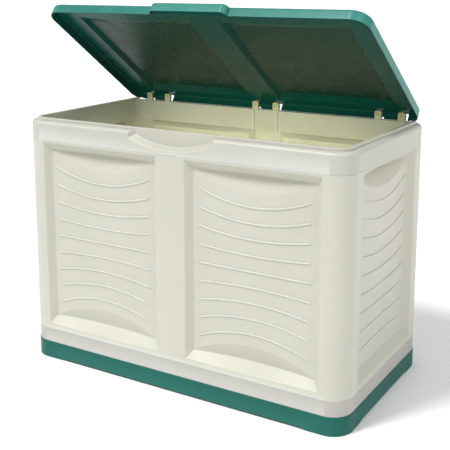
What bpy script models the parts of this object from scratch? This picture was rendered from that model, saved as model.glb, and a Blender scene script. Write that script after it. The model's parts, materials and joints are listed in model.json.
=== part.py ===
"""Deck storage box: a knock-down garden chest moulded in resin, with a hinged lid.

Lengths are metres and +Z is up. The box stands on Z = 0, centred on X = Y = 0, with its front
towards -Y. Four walls slot between a lower frame and a top frame, the lower frame is screwed to
a base tray, and the lid swings on three pins at the back. The lid rests part open.
"""

import math

import bmesh
import bpy
from mathutils import Matrix, Vector

# --- driving dimensions --------------------------------------------------------------------

GAP = 0.0003  # clearance between pieces that touch
WIDTH = 1.000  # over the walls, along X
DEPTH = 0.540  # over the walls, along Y
CORNER = 0.055  # radius of the upright corners
CORNER_STEPS = 6

PLINTH_TOP = 0.052  # base tray, up to its shelf
LOWER_TOP = 0.091  # lower frame, up to the foot of the walls
WALL_TOP = 0.652  # walls, up to the top frame
SHOULDER = 0.700  # top frame, up to the start of its chamfer
LEDGE = 0.706  # flat ledge under the lid's rim
LIP_TOP = 0.714  # weather lip inside the lid's rim

WALL = 0.005  # wall thickness
SKIN = 0.0025  # frame skin outside a wall's tongue
TONGUE = 0.016  # how far a tongue enters its frame

# Moulded panels, shared by all four walls.
PANEL_TOP = 0.647
PANEL_BOTTOM = 0.108
PANEL_DEPTH = 0.018
BEVEL_RISE = 0.023  # height of the bevels above and below a panel
BEVEL_RUN = 0.017  # width of the bevels beside a panel
ARC_DROP = 0.045  # how far a panel's crescents reach from its bevels
FRONT_SCOOP = 0.014  # extra depth of a crescent at its straight edge
GRIP_SCOOP = 0.024  # the same, where the crescent is a hand grip
PANEL_COLUMNS = 8
RIBS = 9
RIB_PITCH = 0.050
RIB_BOW = 0.033  # bow of a long wall's outermost ribs; its middle rib is straight
SIDE_RIB_BOW = 0.0195  # how much more a side wall's top rib sags than its middle one
SIDE_RIB_SAG = 0.0135  # sag of a side wall's middle rib; its bottom rib is nearly straight
RIB_WIDTH = 0.0055
RIB_HEIGHT = 0.0024
RIB_INSET = 0.018  # from a panel's inner edge to the ends of its ribs
# A panel's style: its top scoop, how its ribs bow and sag, and whether it has a lower crescent.
LONG_STYLE = (FRONT_SCOOP, RIB_BOW, 0.0, True)
SIDE_STYLE = (GRIP_SCOOP, SIDE_RIB_BOW, SIDE_RIB_SAG, False)
STILE = 0.044  # half of the upright between the two panels of a long wall
LONG_PANEL_END = 0.4315  # outer edge of the long walls' panels
SIDE_PANEL_END = 0.183  # outer edge of the side walls' panel

# Lid and hinge.
LID_HALF_WIDTH = 0.489
LID_FRONT = -0.266
LID_BACK = 0.2615
LID_BOTTOM = 0.7065
LID_RIM_TOP = 0.7285
LID_ROOF = 0.7368
LID_WALL = 0.003
LID_CORNER = 0.046
FIELD_TOP = 0.7480
HINGE_Y = 0.251
HINGE_Z = 0.719
REST_OPENING = math.radians(35.0)
PIN_RADIUS = 0.0025
PIN_SITES = {"left": -0.398, "centre": 0.0, "right": 0.398}
LUG_OFFSET = 0.035  # from a hinge's middle to each of its lugs
LUG_HALF_WIDTH = 0.010
LUG_TOP = 0.731
KNUCKLE_HALF_WIDTH = 0.0225
TAB_HALF_WIDTH = 0.118
TAB_REACH = 0.018
POCKET_HALF_WIDTH = 0.133

# Screws.
SCREW_RADIUS = 0.0016
SCREW_HEAD_RADIUS = 0.0035
SCREW_HEAD = 0.0022
BASE_SCREW_INSET = 0.016
FRAME_SCREW_INSET = 0.0125
BASE_SCREW_SITES = {
    "front_left": (-0.30, -DEPTH / 2 + BASE_SCREW_INSET),
    "front_right": (0.30, -DEPTH / 2 + BASE_SCREW_INSET),
    "back_left": (-0.30, DEPTH / 2 - BASE_SCREW_INSET),
    "back_right": (0.30, DEPTH / 2 - BASE_SCREW_INSET),
    "left_front": (-WIDTH / 2 + BASE_SCREW_INSET, -0.12),
    "left_back": (-WIDTH / 2 + BASE_SCREW_INSET, 0.12),
    "right_front": (WIDTH / 2 - BASE_SCREW_INSET, -0.12),
    "right_back": (WIDTH / 2 - BASE_SCREW_INSET, 0.12),
}
FRAME_SCREW_SITES = {
    "front_left": (-0.44, -DEPTH / 2 + FRAME_SCREW_INSET),
    "front_right": (0.44, -DEPTH / 2 + FRAME_SCREW_INSET),
    "back_left": (-0.44, DEPTH / 2 - FRAME_SCREW_INSET),
    "back_right": (0.44, DEPTH / 2 - FRAME_SCREW_INSET),
    "left_front": (-WIDTH / 2 + FRAME_SCREW_INSET, -0.20),
    "left_back": (-WIDTH / 2 + FRAME_SCREW_INSET, 0.20),
    "right_front": (WIDTH / 2 - FRAME_SCREW_INSET, -0.20),
    "right_back": (WIDTH / 2 - FRAME_SCREW_INSET, 0.20),
}

CREAM = (0.71, 0.70, 0.60)
GREEN = (0.018, 0.180, 0.130)
ZINC = (0.60, 0.60, 0.58)


# --- materials and meshes --------------------------------------------------------------------


def make_material(name, colour, roughness, metallic):
    """Returns a Principled BSDF material."""
    material = bpy.data.materials.new(name)
    material.use_nodes = True
    shader = material.node_tree.nodes["Principled BSDF"]
    shader.inputs["Base Color"].default_value = (*colour, 1.0)
    shader.inputs["Roughness"].default_value = roughness
    shader.inputs["Metallic"].default_value = metallic
    material.diffuse_color = (*colour, 1.0)
    return material


def make_object(name, faces):
    """Returns an object whose faces are given as lists of corner points; equal points are shared."""
    bm = bmesh.new()
    shared = {}
    for face in faces:
        corners = []
        for point in face:
            key = tuple(round(value, 7) for value in point)
            if key not in shared:
                shared[key] = bm.verts.new(point)
            if shared[key] not in corners:
                corners.append(shared[key])
        if len(corners) > 2:
            bm.faces.new(corners)
    bmesh.ops.recalc_face_normals(bm, faces=bm.faces)
    mesh = bpy.data.meshes.new(name)
    bm.to_mesh(mesh)
    bm.free()
    obj = bpy.data.objects.new(name, mesh)
    bpy.context.collection.objects.link(obj)
    return obj


def loft(loops, ring=False):
    """Returns the faces through a stack of equal loops, capped at both ends unless it is a ring."""
    faces = []
    pairs = list(zip(loops, loops[1:]))
    if ring:
        pairs.append((loops[-1], loops[0]))
    for low, high in pairs:
        for i in range(len(low)):
            j = (i + 1) % len(low)
            faces.append([low[i], low[j], high[j], high[i]])
    if not ring:
        faces.append(list(loops[0]))
        faces.append(list(loops[-1]))
    return faces


def box(low, high):
    """Returns the faces of a box between two corners."""
    x0, y0, z0 = low
    x1, y1, z1 = high
    plan = [(x0, y0), (x1, y0), (x1, y1), (x0, y1)]
    return loft([[(x, y, z) for x, y in plan] for z in (z0, z1)])


def lathe(profile, centre, axis="Z", steps=12):
    """Returns the faces of a round solid from (radius, along) pairs; the end radii are capped."""
    loops = []
    for radius, along in profile:
        loop = []
        for i in range(steps):
            turn = 2 * math.pi * (i + 0.5) / steps
            across = radius * math.cos(turn)
            up = radius * math.sin(turn)
            if axis == "Z":
                loop.append((centre[0] + across, centre[1] + up, along))
            else:
                loop.append((along, centre[0] + across, centre[1] + up))
        loops.append(loop)
    return loft(loops)


def combine(target, faces, operation):
    """Adds or cuts a solid, given by its faces, with an exact Boolean."""
    tool = make_object(target.name + "_tool", faces)
    tool.display_type = "WIRE"
    tool.hide_render = True
    modifier = target.modifiers.new(operation.lower(), "BOOLEAN")
    modifier.operation = operation
    modifier.solver = "EXACT"
    modifier.object = tool
    graph = bpy.context.evaluated_depsgraph_get()
    shaped = bpy.data.meshes.new_from_object(target.evaluated_get(graph))
    target.modifiers.clear()
    old = target.data
    target.data = shaped
    shaped.name = target.name
    bpy.data.meshes.remove(old)
    bpy.data.objects.remove(tool)


def finish(obj, material, smooth_angle=16.0):
    """Gives the object its material and smooth shading with crisp creases."""
    obj.data.materials.clear()
    obj.data.materials.append(material)
    bm = bmesh.new()
    bm.from_mesh(obj.data)
    for edge in bm.edges:
        edge.smooth = edge.calc_face_angle(math.pi) < math.radians(smooth_angle)
    for face in bm.faces:
        face.smooth = True
    bm.to_mesh(obj.data)
    bm.free()
    return obj


# --- outlines --------------------------------------------------------------------------------


def rounded_rectangle(half_x, low_y, high_y, radius, steps=CORNER_STEPS):
    """Returns the plan points of a rounded rectangle, anticlockwise."""
    radius = max(radius, 0.001)
    points = []
    corners = [
        (half_x - radius, high_y - radius, 0.0),
        (-half_x + radius, high_y - radius, 90.0),
        (-half_x + radius, low_y + radius, 180.0),
        (half_x - radius, low_y + radius, 270.0),
    ]
    for x, y, start in corners:
        for i in range(steps + 1):
            turn = math.radians(start + 90.0 * i / steps)
            points.append((x + radius * math.cos(turn), y + radius * math.sin(turn)))
    return points


def body_loop(inset, z):
    """Returns the box's plan outline, moved in by inset, at height z."""
    half_y = DEPTH / 2 - inset
    plan = rounded_rectangle(WIDTH / 2 - inset, -half_y, half_y, CORNER - inset)
    return [(x, y, z) for x, y in plan]


def lid_loop(inset, z):
    """Returns the lid's plan outline, moved in by inset, at height z."""
    plan = rounded_rectangle(
        LID_HALF_WIDTH - inset, LID_FRONT + inset, LID_BACK - inset, LID_CORNER - inset
    )
    return [(x, y, z) for x, y in plan]


# --- walls -----------------------------------------------------------------------------------


def panel_columns(half_inner):
    """Returns the shares of a panel's half width at which its columns stand."""
    rib_end = (half_inner - RIB_INSET) / half_inner
    past_ribs = (half_inner - RIB_INSET + RIB_HEIGHT) / half_inner
    inside = [rib_end * (2 * i / PANEL_COLUMNS - 1) for i in range(PANEL_COLUMNS + 1)]
    return [-1.0, -past_ribs, *inside, past_ribs, 1.0]


def panel_rows(centre, half_outer, style, offset, with_ribs):
    """Returns one face of a moulded panel as rows of (along, depth, height) points.

    The first and last rows lie on the wall's own face. Between them are the bevels, the
    crescents and, on the outside, the bowed ribs. The inside follows the outside at an offset.
    The style is LONG_STYLE or SIDE_STYLE: a side wall has no lower crescent.
    """
    scoop, rib_bow, rib_sag, has_lower_crescent = style
    half_inner = half_outer - BEVEL_RUN
    shift = 0.42 * offset
    columns = panel_columns(half_inner)
    rib_end = (half_inner - RIB_INSET) / half_inner
    inner_top = PANEL_TOP - BEVEL_RISE + shift
    inner_bottom = PANEL_BOTTOM + BEVEL_RISE - shift
    floor = PANEL_DEPTH + offset

    def row(half, height, depth):
        return [(centre + u * half, depth(u), height(u)) for u in columns]

    def hump(u):
        return 1.0 - u * u

    def level(value):
        return lambda u: value

    half_inner += shift
    rows = [row(half_outer + shift, level(PANEL_TOP + shift), level(offset))]
    rows.append(row(half_inner, level(inner_top), lambda u: floor + scoop * hump(u)))
    rows.append(row(half_inner, lambda u: inner_top - ARC_DROP * hump(u), level(floor)))
    middle = (PANEL_TOP + PANEL_BOTTOM) / 2 - 0.0025
    for i in range(RIBS if with_ribs else 0):
        step = (RIBS - 1) / 2 - i
        bow = rib_sag + rib_bow * step / ((RIBS - 1) / 2)
        for side, height in ((1, 0.0), (0, RIB_HEIGHT), (-1, 0.0)):
            rows.append(
                row(
                    half_inner,
                    lambda u, k=step, b=bow, s=side: middle
                    + k * RIB_PITCH
                    - b * (1 - (u / rib_end) ** 2)
                    + s * RIB_WIDTH / 2,
                    lambda u, h=height: floor - (h if abs(u) < rib_end + 1e-6 else 0.0),
                )
            )
    if has_lower_crescent:
        rows.append(row(half_inner, lambda u: inner_bottom + ARC_DROP * hump(u), level(floor)))
    lower_scoop = scoop if has_lower_crescent else 0.0
    rows.append(row(half_inner, level(inner_bottom), lambda u: floor + lower_scoop * hump(u)))
    rows.append(row(half_outer + shift, level(PANEL_BOTTOM - shift), level(offset)))
    return rows


def panel_faces(rows):
    """Returns a panel's faces: the grid between its rows, and one bevel at each side."""
    faces = []
    for upper, lower in zip(rows, rows[1:]):
        for j in range(len(upper) - 1):
            faces.append([upper[j], upper[j + 1], lower[j + 1], lower[j]])
    # A side bevel is flat, and runs through the ends of all the rows.
    for j in (0, -1):
        faces.append([row[j] for row in rows])
    return faces


def face_around_panels(end, depth, low, high, panels):
    """Returns the flat faces of one side of a wall round its panels, from -end to +end."""
    tops = [point for rows in panels for point in rows[0]]
    bottoms = [point for rows in panels for point in rows[-1]]
    faces = [
        [(-end, depth, high), (end, depth, high), *reversed(edge_with_ends(tops, end, depth))],
        [(-end, depth, low), (end, depth, low), *reversed(edge_with_ends(bottoms, end, depth))],
    ]
    uprights = [-end]
    for rows in panels:
        uprights += [rows[0][0][0], rows[0][-1][0]]
    uprights.append(end)
    panel_high = panels[0][0][0][2]
    panel_low = panels[0][-1][0][2]
    for left, right in zip(uprights[::2], uprights[1::2]):
        faces.append(
            [
                (left, depth, panel_low),
                (right, depth, panel_low),
                (right, depth, panel_high),
                (left, depth, panel_high),
            ]
        )
    return faces


def edge_with_ends(points, end, depth):
    """Returns an edge of a panel row, carried on to both ends of the wall's flat part."""
    height = points[0][2]
    return [(-end, depth, height), *points, (end, depth, height)]


def wall_profile():
    """Returns a wall's cross section as (depth, height) points, tongues included."""
    tongue = SKIN + GAP
    return [
        (0.0, LOWER_TOP),
        (0.0, WALL_TOP),
        (tongue, WALL_TOP),
        (tongue, WALL_TOP + TONGUE),
        (WALL, WALL_TOP + TONGUE),
        (WALL, LOWER_TOP - TONGUE - GAP),
        (tongue, LOWER_TOP - TONGUE - GAP),
        (tongue, LOWER_TOP),
    ]


def wall_faces(end, panel_centres, panel_half, style, turns_corners, place):
    """Returns a wall's faces. place turns (along, depth, height) into a point in space."""
    outer = [panel_rows(c, panel_half, style, 0.0, True) for c in panel_centres]
    inner = [panel_rows(c, panel_half, style, WALL, False) for c in panel_centres]
    profile = wall_profile()
    faces = []
    for rows in outer + inner:
        faces += panel_faces(rows)
    low, high = LOWER_TOP, WALL_TOP
    faces += face_around_panels(end, 0.0, low, high, outer)
    faces += face_around_panels(end, WALL, low - TONGUE - GAP, high + TONGUE, inner)
    # The panel edges also divide the upright edges of the flat part, so the corners share them.
    inner_low, inner_high = inner[0][-1][0][2], inner[0][0][0][2]
    marks = {0: (PANEL_BOTTOM, PANEL_TOP), 4: (inner_high, inner_low)}
    stations = [-end, end]
    if turns_corners:
        arc = CORNER * math.pi / 2
        steps = [arc * (i + 1) / CORNER_STEPS for i in range(CORNER_STEPS)]
        stations = [-end - s for s in reversed(steps)] + stations + [end + s for s in steps]

    def corner_strip(a, b, index):
        (d0, z0), (d1, z1) = profile[index], profile[(index + 1) % len(profile)]
        points_a = [(a, d0, z0), *[(a, d0, z) for z in marks.get(index, ())], (a, d1, z1)]
        points_b = [(b, d0, z0), *[(b, d0, z) for z in marks.get(index, ())], (b, d1, z1)]
        keep_a = points_a if abs(a) <= end + 1e-9 else [points_a[0], points_a[-1]]
        keep_b = points_b if abs(b) <= end + 1e-9 else [points_b[0], points_b[-1]]
        return [*keep_a, *reversed(keep_b)]

    for a, b in zip(stations, stations[1:]):
        flat = abs(a) <= end + 1e-9 and abs(b) <= end + 1e-9
        for index in range(len(profile)):
            if not (flat and index in (0, 4)):
                faces.append(corner_strip(a, b, index))
    for station in (stations[0], stations[-1]):
        cap = []
        for index, (depth, height) in enumerate(profile):
            cap.append((station, depth, height))
            if not turns_corners:
                cap += [(station, depth, z) for z in marks.get(index, ())]
        faces.append(cap)
    return [[place(*point) for point in face] for face in faces]


def place_long(side):
    """Returns the placing of a long wall: side -1 is the front and +1 the back."""
    end = WIDTH / 2 - CORNER

    def place(along, depth, height):
        if abs(along) <= end + 1e-9:
            x, out = along, DEPTH / 2 - depth
        else:
            turn = (abs(along) - end) / CORNER
            radius = CORNER - depth
            x = math.copysign(end + radius * math.sin(turn), along)
            out = DEPTH / 2 - CORNER + radius * math.cos(turn)
        return (x, side * out, height)

    return place


def place_side(side):
    """Returns the placing of a side wall: side -1 is the left and +1 the right."""

    def place(along, depth, height):
        return (side * (WIDTH / 2 - depth), along, height)

    return place


def screw_tabs(sites):
    """Returns the small shelves inside a wall that its frame screws pass through."""
    faces = []
    half = 0.009
    for x, y in sites:
        if abs(y) > DEPTH / 2 - CORNER:
            low_y, high_y = DEPTH / 2 - 0.0195, DEPTH / 2 - 0.0035
            if y < 0:
                low_y, high_y = -high_y, -low_y
            faces += box((x - half, low_y, WALL_TOP - 0.003), (x + half, high_y, WALL_TOP - GAP))
        else:
            low_x, high_x = WIDTH / 2 - 0.0195, WIDTH / 2 - 0.0035
            if x < 0:
                low_x, high_x = -high_x, -low_x
            faces += box((low_x, y - half, WALL_TOP - 0.003), (high_x, y + half, WALL_TOP - GAP))
    return faces


def pilot_holes(sites, low, high):
    """Returns upright round cutters for screws at the given places."""
    faces = []
    for x, y in sites:
        radius = SCREW_RADIUS + GAP
        faces += lathe([(radius, low), (radius, high)], (x, y))
    return faces


def build_wall(name, material):
    """Builds one wall by its name: front, back, left or right."""
    centre = (STILE + LONG_PANEL_END) / 2
    half = (LONG_PANEL_END - STILE) / 2
    if name in ("front", "back"):
        place = place_long(-1 if name == "front" else 1)
        faces = wall_faces(
            WIDTH / 2 - CORNER, (-centre, centre), half, LONG_STYLE, True, place
        )
    else:
        place = place_side(-1 if name == "left" else 1)
        end = DEPTH / 2 - CORNER - GAP
        faces = wall_faces(end, (0.0,), SIDE_PANEL_END, SIDE_STYLE, False, place)
    wall = make_object(name + "_wall", faces)
    sites = [site for key, site in FRAME_SCREW_SITES.items() if key.startswith(name)]
    combine(wall, screw_tabs(sites), "UNION")
    combine(wall, pilot_holes(sites, WALL_TOP - 0.008, WALL_TOP + 0.004), "DIFFERENCE")
    if name == "front":
        # The tongue stops short on both sides of the top frame's finger pocket.
        clear = POCKET_HALF_WIDTH + 0.014
        low = (-clear, -DEPTH / 2 - 0.01, WALL_TOP + 0.0006)
        combine(wall, box(low, (clear, -DEPTH / 2 + 0.01, WALL_TOP + 0.03)), "DIFFERENCE")
    return finish(wall, material)


# --- base and frames -------------------------------------------------------------------------


def arch(half_low, half_high, rise, across, along_x):
    """Returns a cutter that lifts a plinth edge between two feet, through the given band."""
    outline = [(-half_low, -0.001), (half_low, -0.001), (half_high, rise), (-half_high, rise)]
    loops = []
    for value in across:
        if along_x:
            loops.append([(a, value, z) for a, z in outline])
        else:
            loops.append([(value, a, z) for a, z in outline])
    return loft(loops)


def build_base_tray(material):
    """Builds the plinth with its floor, feet, underside ribs and screw holes."""
    proud = -0.002
    loops = [
        body_loop(WALL, PLINTH_TOP - 0.002),
        body_loop(WALL, PLINTH_TOP + TONGUE + 0.0005),
        body_loop(SKIN + GAP, PLINTH_TOP + TONGUE + 0.0005),
        body_loop(SKIN + GAP, PLINTH_TOP),
        body_loop(proud + 0.002, PLINTH_TOP),
        body_loop(proud, PLINTH_TOP - 0.002),
        body_loop(proud, 0.0),
        body_loop(proud + 0.0035, 0.0),
        body_loop(proud + 0.0035, PLINTH_TOP - 0.006),
    ]
    tray = make_object("base_tray", loft(loops))
    under = PLINTH_TOP - 0.005
    reach_x = WIDTH / 2 - 0.001
    reach_y = DEPTH / 2 - 0.001
    combine(tray, box((-reach_x, -0.0015, 0.012), (reach_x, 0.0015, under)), "UNION")
    cross = []
    for x in (-0.25, 0.0, 0.25):
        cross += box((x - 0.0015, -reach_y, 0.012), (x + 0.0015, reach_y, under))
    combine(tray, cross, "UNION")
    feet = []
    for x in (-1, 1):
        for y in (-1, 1):
            low = (min(x * 0.43, x * 0.478), min(y * 0.20, y * 0.248), 0.0)
            high = (max(x * 0.43, x * 0.478), max(y * 0.20, y * 0.248), 0.004)
            feet += box(low, high)
            stem = sorted((x * 0.455, x * 0.459))
            feet_y = sorted((y * 0.20, y * 0.2695))
            web = box((stem[0], feet_y[0], 0.002), (stem[1], feet_y[1], under))
            combine(tray, web, "UNION")
            stem = sorted((y * 0.228, y * 0.232))
            feet_x = sorted((x * 0.43, x * 0.4995))
            web = box((feet_x[0], stem[0], 0.002), (feet_x[1], stem[1], under))
            combine(tray, web, "UNION")
    combine(tray, feet, "UNION")
    arches = arch(0.405, 0.385, 0.006, (-DEPTH / 2 - 0.01, -DEPTH / 2 + 0.01), True)
    arches += arch(0.405, 0.385, 0.006, (DEPTH / 2 - 0.01, DEPTH / 2 + 0.01), True)
    arches += arch(0.175, 0.155, 0.006, (-WIDTH / 2 - 0.01, -WIDTH / 2 + 0.01), False)
    arches += arch(0.175, 0.155, 0.006, (WIDTH / 2 - 0.01, WIDTH / 2 + 0.01), False)
    combine(tray, arches, "DIFFERENCE")
    holes = pilot_holes(BASE_SCREW_SITES.values(), PLINTH_TOP - 0.012, PLINTH_TOP + 0.004)
    combine(tray, holes, "DIFFERENCE")
    return finish(tray, material)


def build_lower_frame(material):
    """Builds the H-section ring between the base tray and the walls, with its screw bosses."""
    low, high = PLINTH_TOP + GAP, LOWER_TOP - GAP
    web_low, web_high = 0.0700, 0.0730
    leaf, back = 0.010, 0.0125
    profile = [
        (0.0, low),
        (0.0, high),
        (SKIN, high),
        (SKIN, web_high),
        (leaf, web_high),
        (leaf, high),
        (back, high),
        (back, low),
        (leaf, low),
        (leaf, web_low),
        (SKIN, web_low),
        (SKIN, low),
    ]
    frame = make_object("lower_frame", loft([body_loop(i, z) for i, z in profile], ring=True))
    bosses = []
    floor = PLINTH_TOP - 0.002
    for site in BASE_SCREW_SITES.values():
        bosses += lathe([(0.0045, floor + GAP), (0.0045, 0.0715)], site)
    combine(frame, bosses, "UNION")
    holes = pilot_holes(BASE_SCREW_SITES.values(), floor - 0.001, 0.0665)
    combine(frame, holes, "DIFFERENCE")
    return finish(frame, material)


def hinge_lug(x):
    """Returns an upright lug with rounded shoulders, standing on the back ledge."""
    low, shoulder = LEDGE - 0.0015, LUG_TOP - 0.004
    half = LUG_HALF_WIDTH
    outline = [(x - half, low), (x + half, low), (x + half, shoulder)]
    outline += [(x + half - 0.0012, LUG_TOP - 0.0012), (x + half - 0.004, LUG_TOP)]
    outline += [(x - half + 0.004, LUG_TOP), (x - half + 0.0012, LUG_TOP - 0.0012)]
    outline += [(x - half, shoulder)]
    return loft([[(a, y, z) for a, z in outline] for y in (HINGE_Y - 0.0055, HINGE_Y + 0.0055)])


def lug_window(x):
    """Returns the cutter of the small cored window in the front of a lug."""
    low = (x - 0.0035, HINGE_Y - 0.007, HINGE_Z + 0.0005)
    return box(low, (x + 0.0035, HINGE_Y - 0.0030, HINGE_Z + 0.0075))


def pocket_cutter():
    """Returns the sloped finger pocket in the front of the top frame, open upwards."""
    front = -DEPTH / 2
    steps = 10
    loops = []
    for depth, half, end, drop in (
        (-0.001, POCKET_HALF_WIDTH + 0.001, 0.6853, 0.0240),
        (0.0165, POCKET_HALF_WIDTH - 0.0145, 0.6970, 0.0230),
    ):
        loop = [(half, front + depth, LIP_TOP + 0.006), (-half, front + depth, LIP_TOP + 0.006)]
        for i in range(steps + 1):
            share = 2 * i / steps - 1
            loop.append((share * half, front + depth, end - drop * (1 - share * share)))
        loops.append(loop)
    return loft(loops)


def build_top_frame(material):
    """Builds the channel-section rim with its lip, finger pocket, hinge lugs and screw posts."""
    lip_out, lip_in = 0.017, 0.026
    leaf = lip_in - 0.0035
    profile = [
        (0.0, WALL_TOP + GAP),
        (0.0, SHOULDER),
        (0.006, LEDGE),
        (lip_out, LEDGE),
        (lip_out, LIP_TOP),
        (lip_in, LIP_TOP),
        (lip_in, WALL_TOP - 0.010),
        (leaf, WALL_TOP - 0.010),
        (leaf, LEDGE - 0.0035),
        (0.0065, LEDGE - 0.0035),
        (SKIN, SHOULDER - 0.0015),
        (SKIN, WALL_TOP + GAP),
    ]
    frame = make_object("top_frame", loft([body_loop(i, z) for i, z in profile], ring=True))
    half, back = POCKET_HALF_WIDTH + 0.010, lip_in - 0.002
    section = [(0.0015, WALL_TOP + 0.0025), (0.0015, SHOULDER), (0.0060, LEDGE - 0.0015)]
    section += [(back, LEDGE - 0.0015), (back, WALL_TOP + 0.0025)]
    added = loft([[(x, inset - DEPTH / 2, z) for inset, z in section] for x in (-half, half)])
    for site in FRAME_SCREW_SITES.values():
        added += lathe([(0.0045, WALL_TOP + GAP), (0.0045, LEDGE - 0.0015)], site)
    for x in (-0.040, 0.040):
        # Stiffening ribs on the inside, below the lugs of the centre hinge.
        face = DEPTH / 2 - lip_in
        low = (x - 0.0015, face - 0.0020, WALL_TOP - 0.0095)
        added += box(low, (x + 0.0015, face + 0.0010, LEDGE - 0.0030))
    combine(frame, added, "UNION")
    # The lid's back edge swings over a flat ledge, so the lip runs round three sides only.
    back = DEPTH / 2
    combine(frame, box((-0.6, 0.236, LEDGE), (0.6, back + 0.01, LIP_TOP + 0.01)), "DIFFERENCE")
    lugs, windows, bores = [], [], []
    for middle in PIN_SITES.values():
        for side in (-1, 1):
            lugs += hinge_lug(middle + side * LUG_OFFSET)
            windows += lug_window(middle + side * LUG_OFFSET)
        bore = [(PIN_RADIUS + GAP, middle - 0.050), (PIN_RADIUS + GAP, middle + 0.050)]
        bores += lathe(bore, (HINGE_Y, HINGE_Z), axis="X", steps=16)
    combine(frame, lugs, "UNION")
    combine(frame, windows, "DIFFERENCE")
    combine(frame, bores, "DIFFERENCE")
    combine(frame, pocket_cutter(), "DIFFERENCE")
    holes = pilot_holes(FRAME_SCREW_SITES.values(), WALL_TOP - 0.001, WALL_TOP + 0.016)
    combine(frame, holes, "DIFFERENCE")
    return finish(frame, material)


# --- lid -------------------------------------------------------------------------------------


def field_loop(side, grow, z, ends, bow):
    """Returns one outline of a raised field of the lid, with its front and back edges bowed."""
    inner, outer = 0.055 - grow, 0.412 + grow
    middle, half = (inner + outer) / 2, (outer - inner) / 2
    front, back = -0.168, 0.208
    steps = 8
    loop = []
    for i in range(steps + 1):
        share = 2 * i / steps - 1
        edge = ends - bow * (1 - share * share)
        loop.append((side * (middle + share * half), front - edge, z))
    for i in range(steps + 1):
        share = 1 - 2 * i / steps
        edge = ends - bow * (1 - share * share)
        loop.append((side * (middle + share * half), back + edge, z))
    return loop


def raised_field(side, low, high, inset):
    """Returns a raised field between two heights; inset makes the matching hollow beneath."""
    return loft(
        [
            field_loop(side, 0.010 - inset, low, 0.036 - inset, 0.017),
            field_loop(side, -inset, high, -inset, 0.0),
        ]
    )


def tab_loop(inset, z):
    """Returns the plan outline of the lift tab at the lid's front, at height z."""
    half = TAB_HALF_WIDTH - inset
    front = LID_FRONT - TAB_REACH + inset
    radius = 0.010 - inset
    points = [(half, LID_FRONT + 0.0015), (-half, LID_FRONT + 0.0015)]
    for x, start in ((-half + radius, 180.0), (half - radius, 270.0)):
        for i in range(4):
            turn = math.radians(start + 30.0 * i)
            points.append((x + radius * math.cos(turn), front + radius + radius * math.sin(turn)))
    return [(x, y, z) for x, y in points]


def knuckle(x):
    """Returns a knuckle that hangs from the lid between two lugs, round about the pin."""
    radius = 0.006
    outline = [(HINGE_Y + 0.0085, LID_ROOF - 0.0015), (HINGE_Y - radius, LID_ROOF - 0.0015)]
    for i in range(9):
        turn = math.radians(180.0 + 22.5 * i)
        outline.append((HINGE_Y + radius * math.cos(turn), HINGE_Z + radius * math.sin(turn)))
    outline.append((HINGE_Y + 0.0085, HINGE_Z + 0.004))
    loops = []
    for along in (x - KNUCKLE_HALF_WIDTH, x + KNUCKLE_HALF_WIDTH):
        loops.append([(along, y, z) for y, z in outline])
    return loft(loops)


def build_lid(material, hinge):
    """Builds the closed lid about the hinge line, and hangs it from the hinge empty."""
    rim = LID_RIM_TOP
    outer = [(0.0, LID_BOTTOM), (0.0, rim), (0.0012, rim + 0.004)]
    outer += [(0.0040, rim + 0.0068), (0.008, LID_ROOF)]
    lid = make_object("lid", loft([lid_loop(i, z) for i, z in outer]))
    ceiling = LID_ROOF - LID_WALL
    added = []
    for side in (-1, 1):
        added += raised_field(side, LID_ROOF - 0.0015, FIELD_TOP, 0.0)
    tab = [(0.0, LID_BOTTOM), (0.0, rim), (0.0012, rim + 0.0035), (0.0040, rim + 0.0058)]
    added += loft([tab_loop(i, z) for i, z in tab])
    combine(lid, added, "UNION")
    inner = [(LID_WALL, LID_BOTTOM - 0.01), (LID_WALL, rim), (0.0045, rim + 0.0035)]
    inner.append((0.008, ceiling))
    combine(lid, loft([lid_loop(i, z) for i, z in inner]), "DIFFERENCE")
    hollows = []
    for side in (-1, 1):
        hollows += raised_field(side, ceiling - 0.0015, FIELD_TOP - LID_WALL, LID_WALL)
    under_tab = [tab_loop(LID_WALL, z) for z in (LID_BOTTOM - 0.01, rim + 0.002)]
    under_tab = [[(x, min(y, LID_FRONT - 0.0005), z) for x, y, z in loop] for loop in under_tab]
    hollows += loft(under_tab)
    combine(lid, hollows, "DIFFERENCE")
    knuckles, bores, notches = [], [], []
    for middle in PIN_SITES.values():
        knuckles += knuckle(middle)
        bore = [(PIN_RADIUS + GAP, middle - 0.030), (PIN_RADIUS + GAP, middle + 0.030)]
        bores += lathe(bore, (HINGE_Y, HINGE_Z), axis="X", steps=16)
        for side in (-1, 1):
            x = middle + side * LUG_OFFSET
            low = (x - LUG_HALF_WIDTH - 0.002, HINGE_Y + 0.002, LID_BOTTOM - 0.01)
            notches += box(low, (x + LUG_HALF_WIDTH + 0.005, LID_BACK + 0.01, HINGE_Z + 0.0135))
    combine(lid, knuckles, "UNION")
    combine(lid, bores, "DIFFERENCE")
    combine(lid, notches, "DIFFERENCE")
    trim = box((-0.6, HINGE_Y - 0.0015, LID_BOTTOM - 0.01), (0.6, LID_BACK + 0.01, 0.7145))
    combine(lid, trim, "DIFFERENCE")
    lid.data.transform(Matrix.Translation((0.0, -HINGE_Y, -HINGE_Z)))
    lid.parent = hinge
    return finish(lid, material)


def build_hinge_pin(name, middle, material):
    """Builds one headed pin along X through its two lugs and the lid's knuckle."""
    reach = LUG_OFFSET + LUG_HALF_WIDTH
    profile = [
        (0.0040, middle - reach - 0.0023),
        (0.0040, middle - reach - GAP),
        (PIN_RADIUS, middle - reach - GAP),
        (PIN_RADIUS, middle + reach + 0.002),
        (PIN_RADIUS - 0.0008, middle + reach + 0.003),
    ]
    faces = lathe(profile, (HINGE_Y, HINGE_Z), axis="X", steps=16)
    return finish(make_object(name, faces), material)


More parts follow.
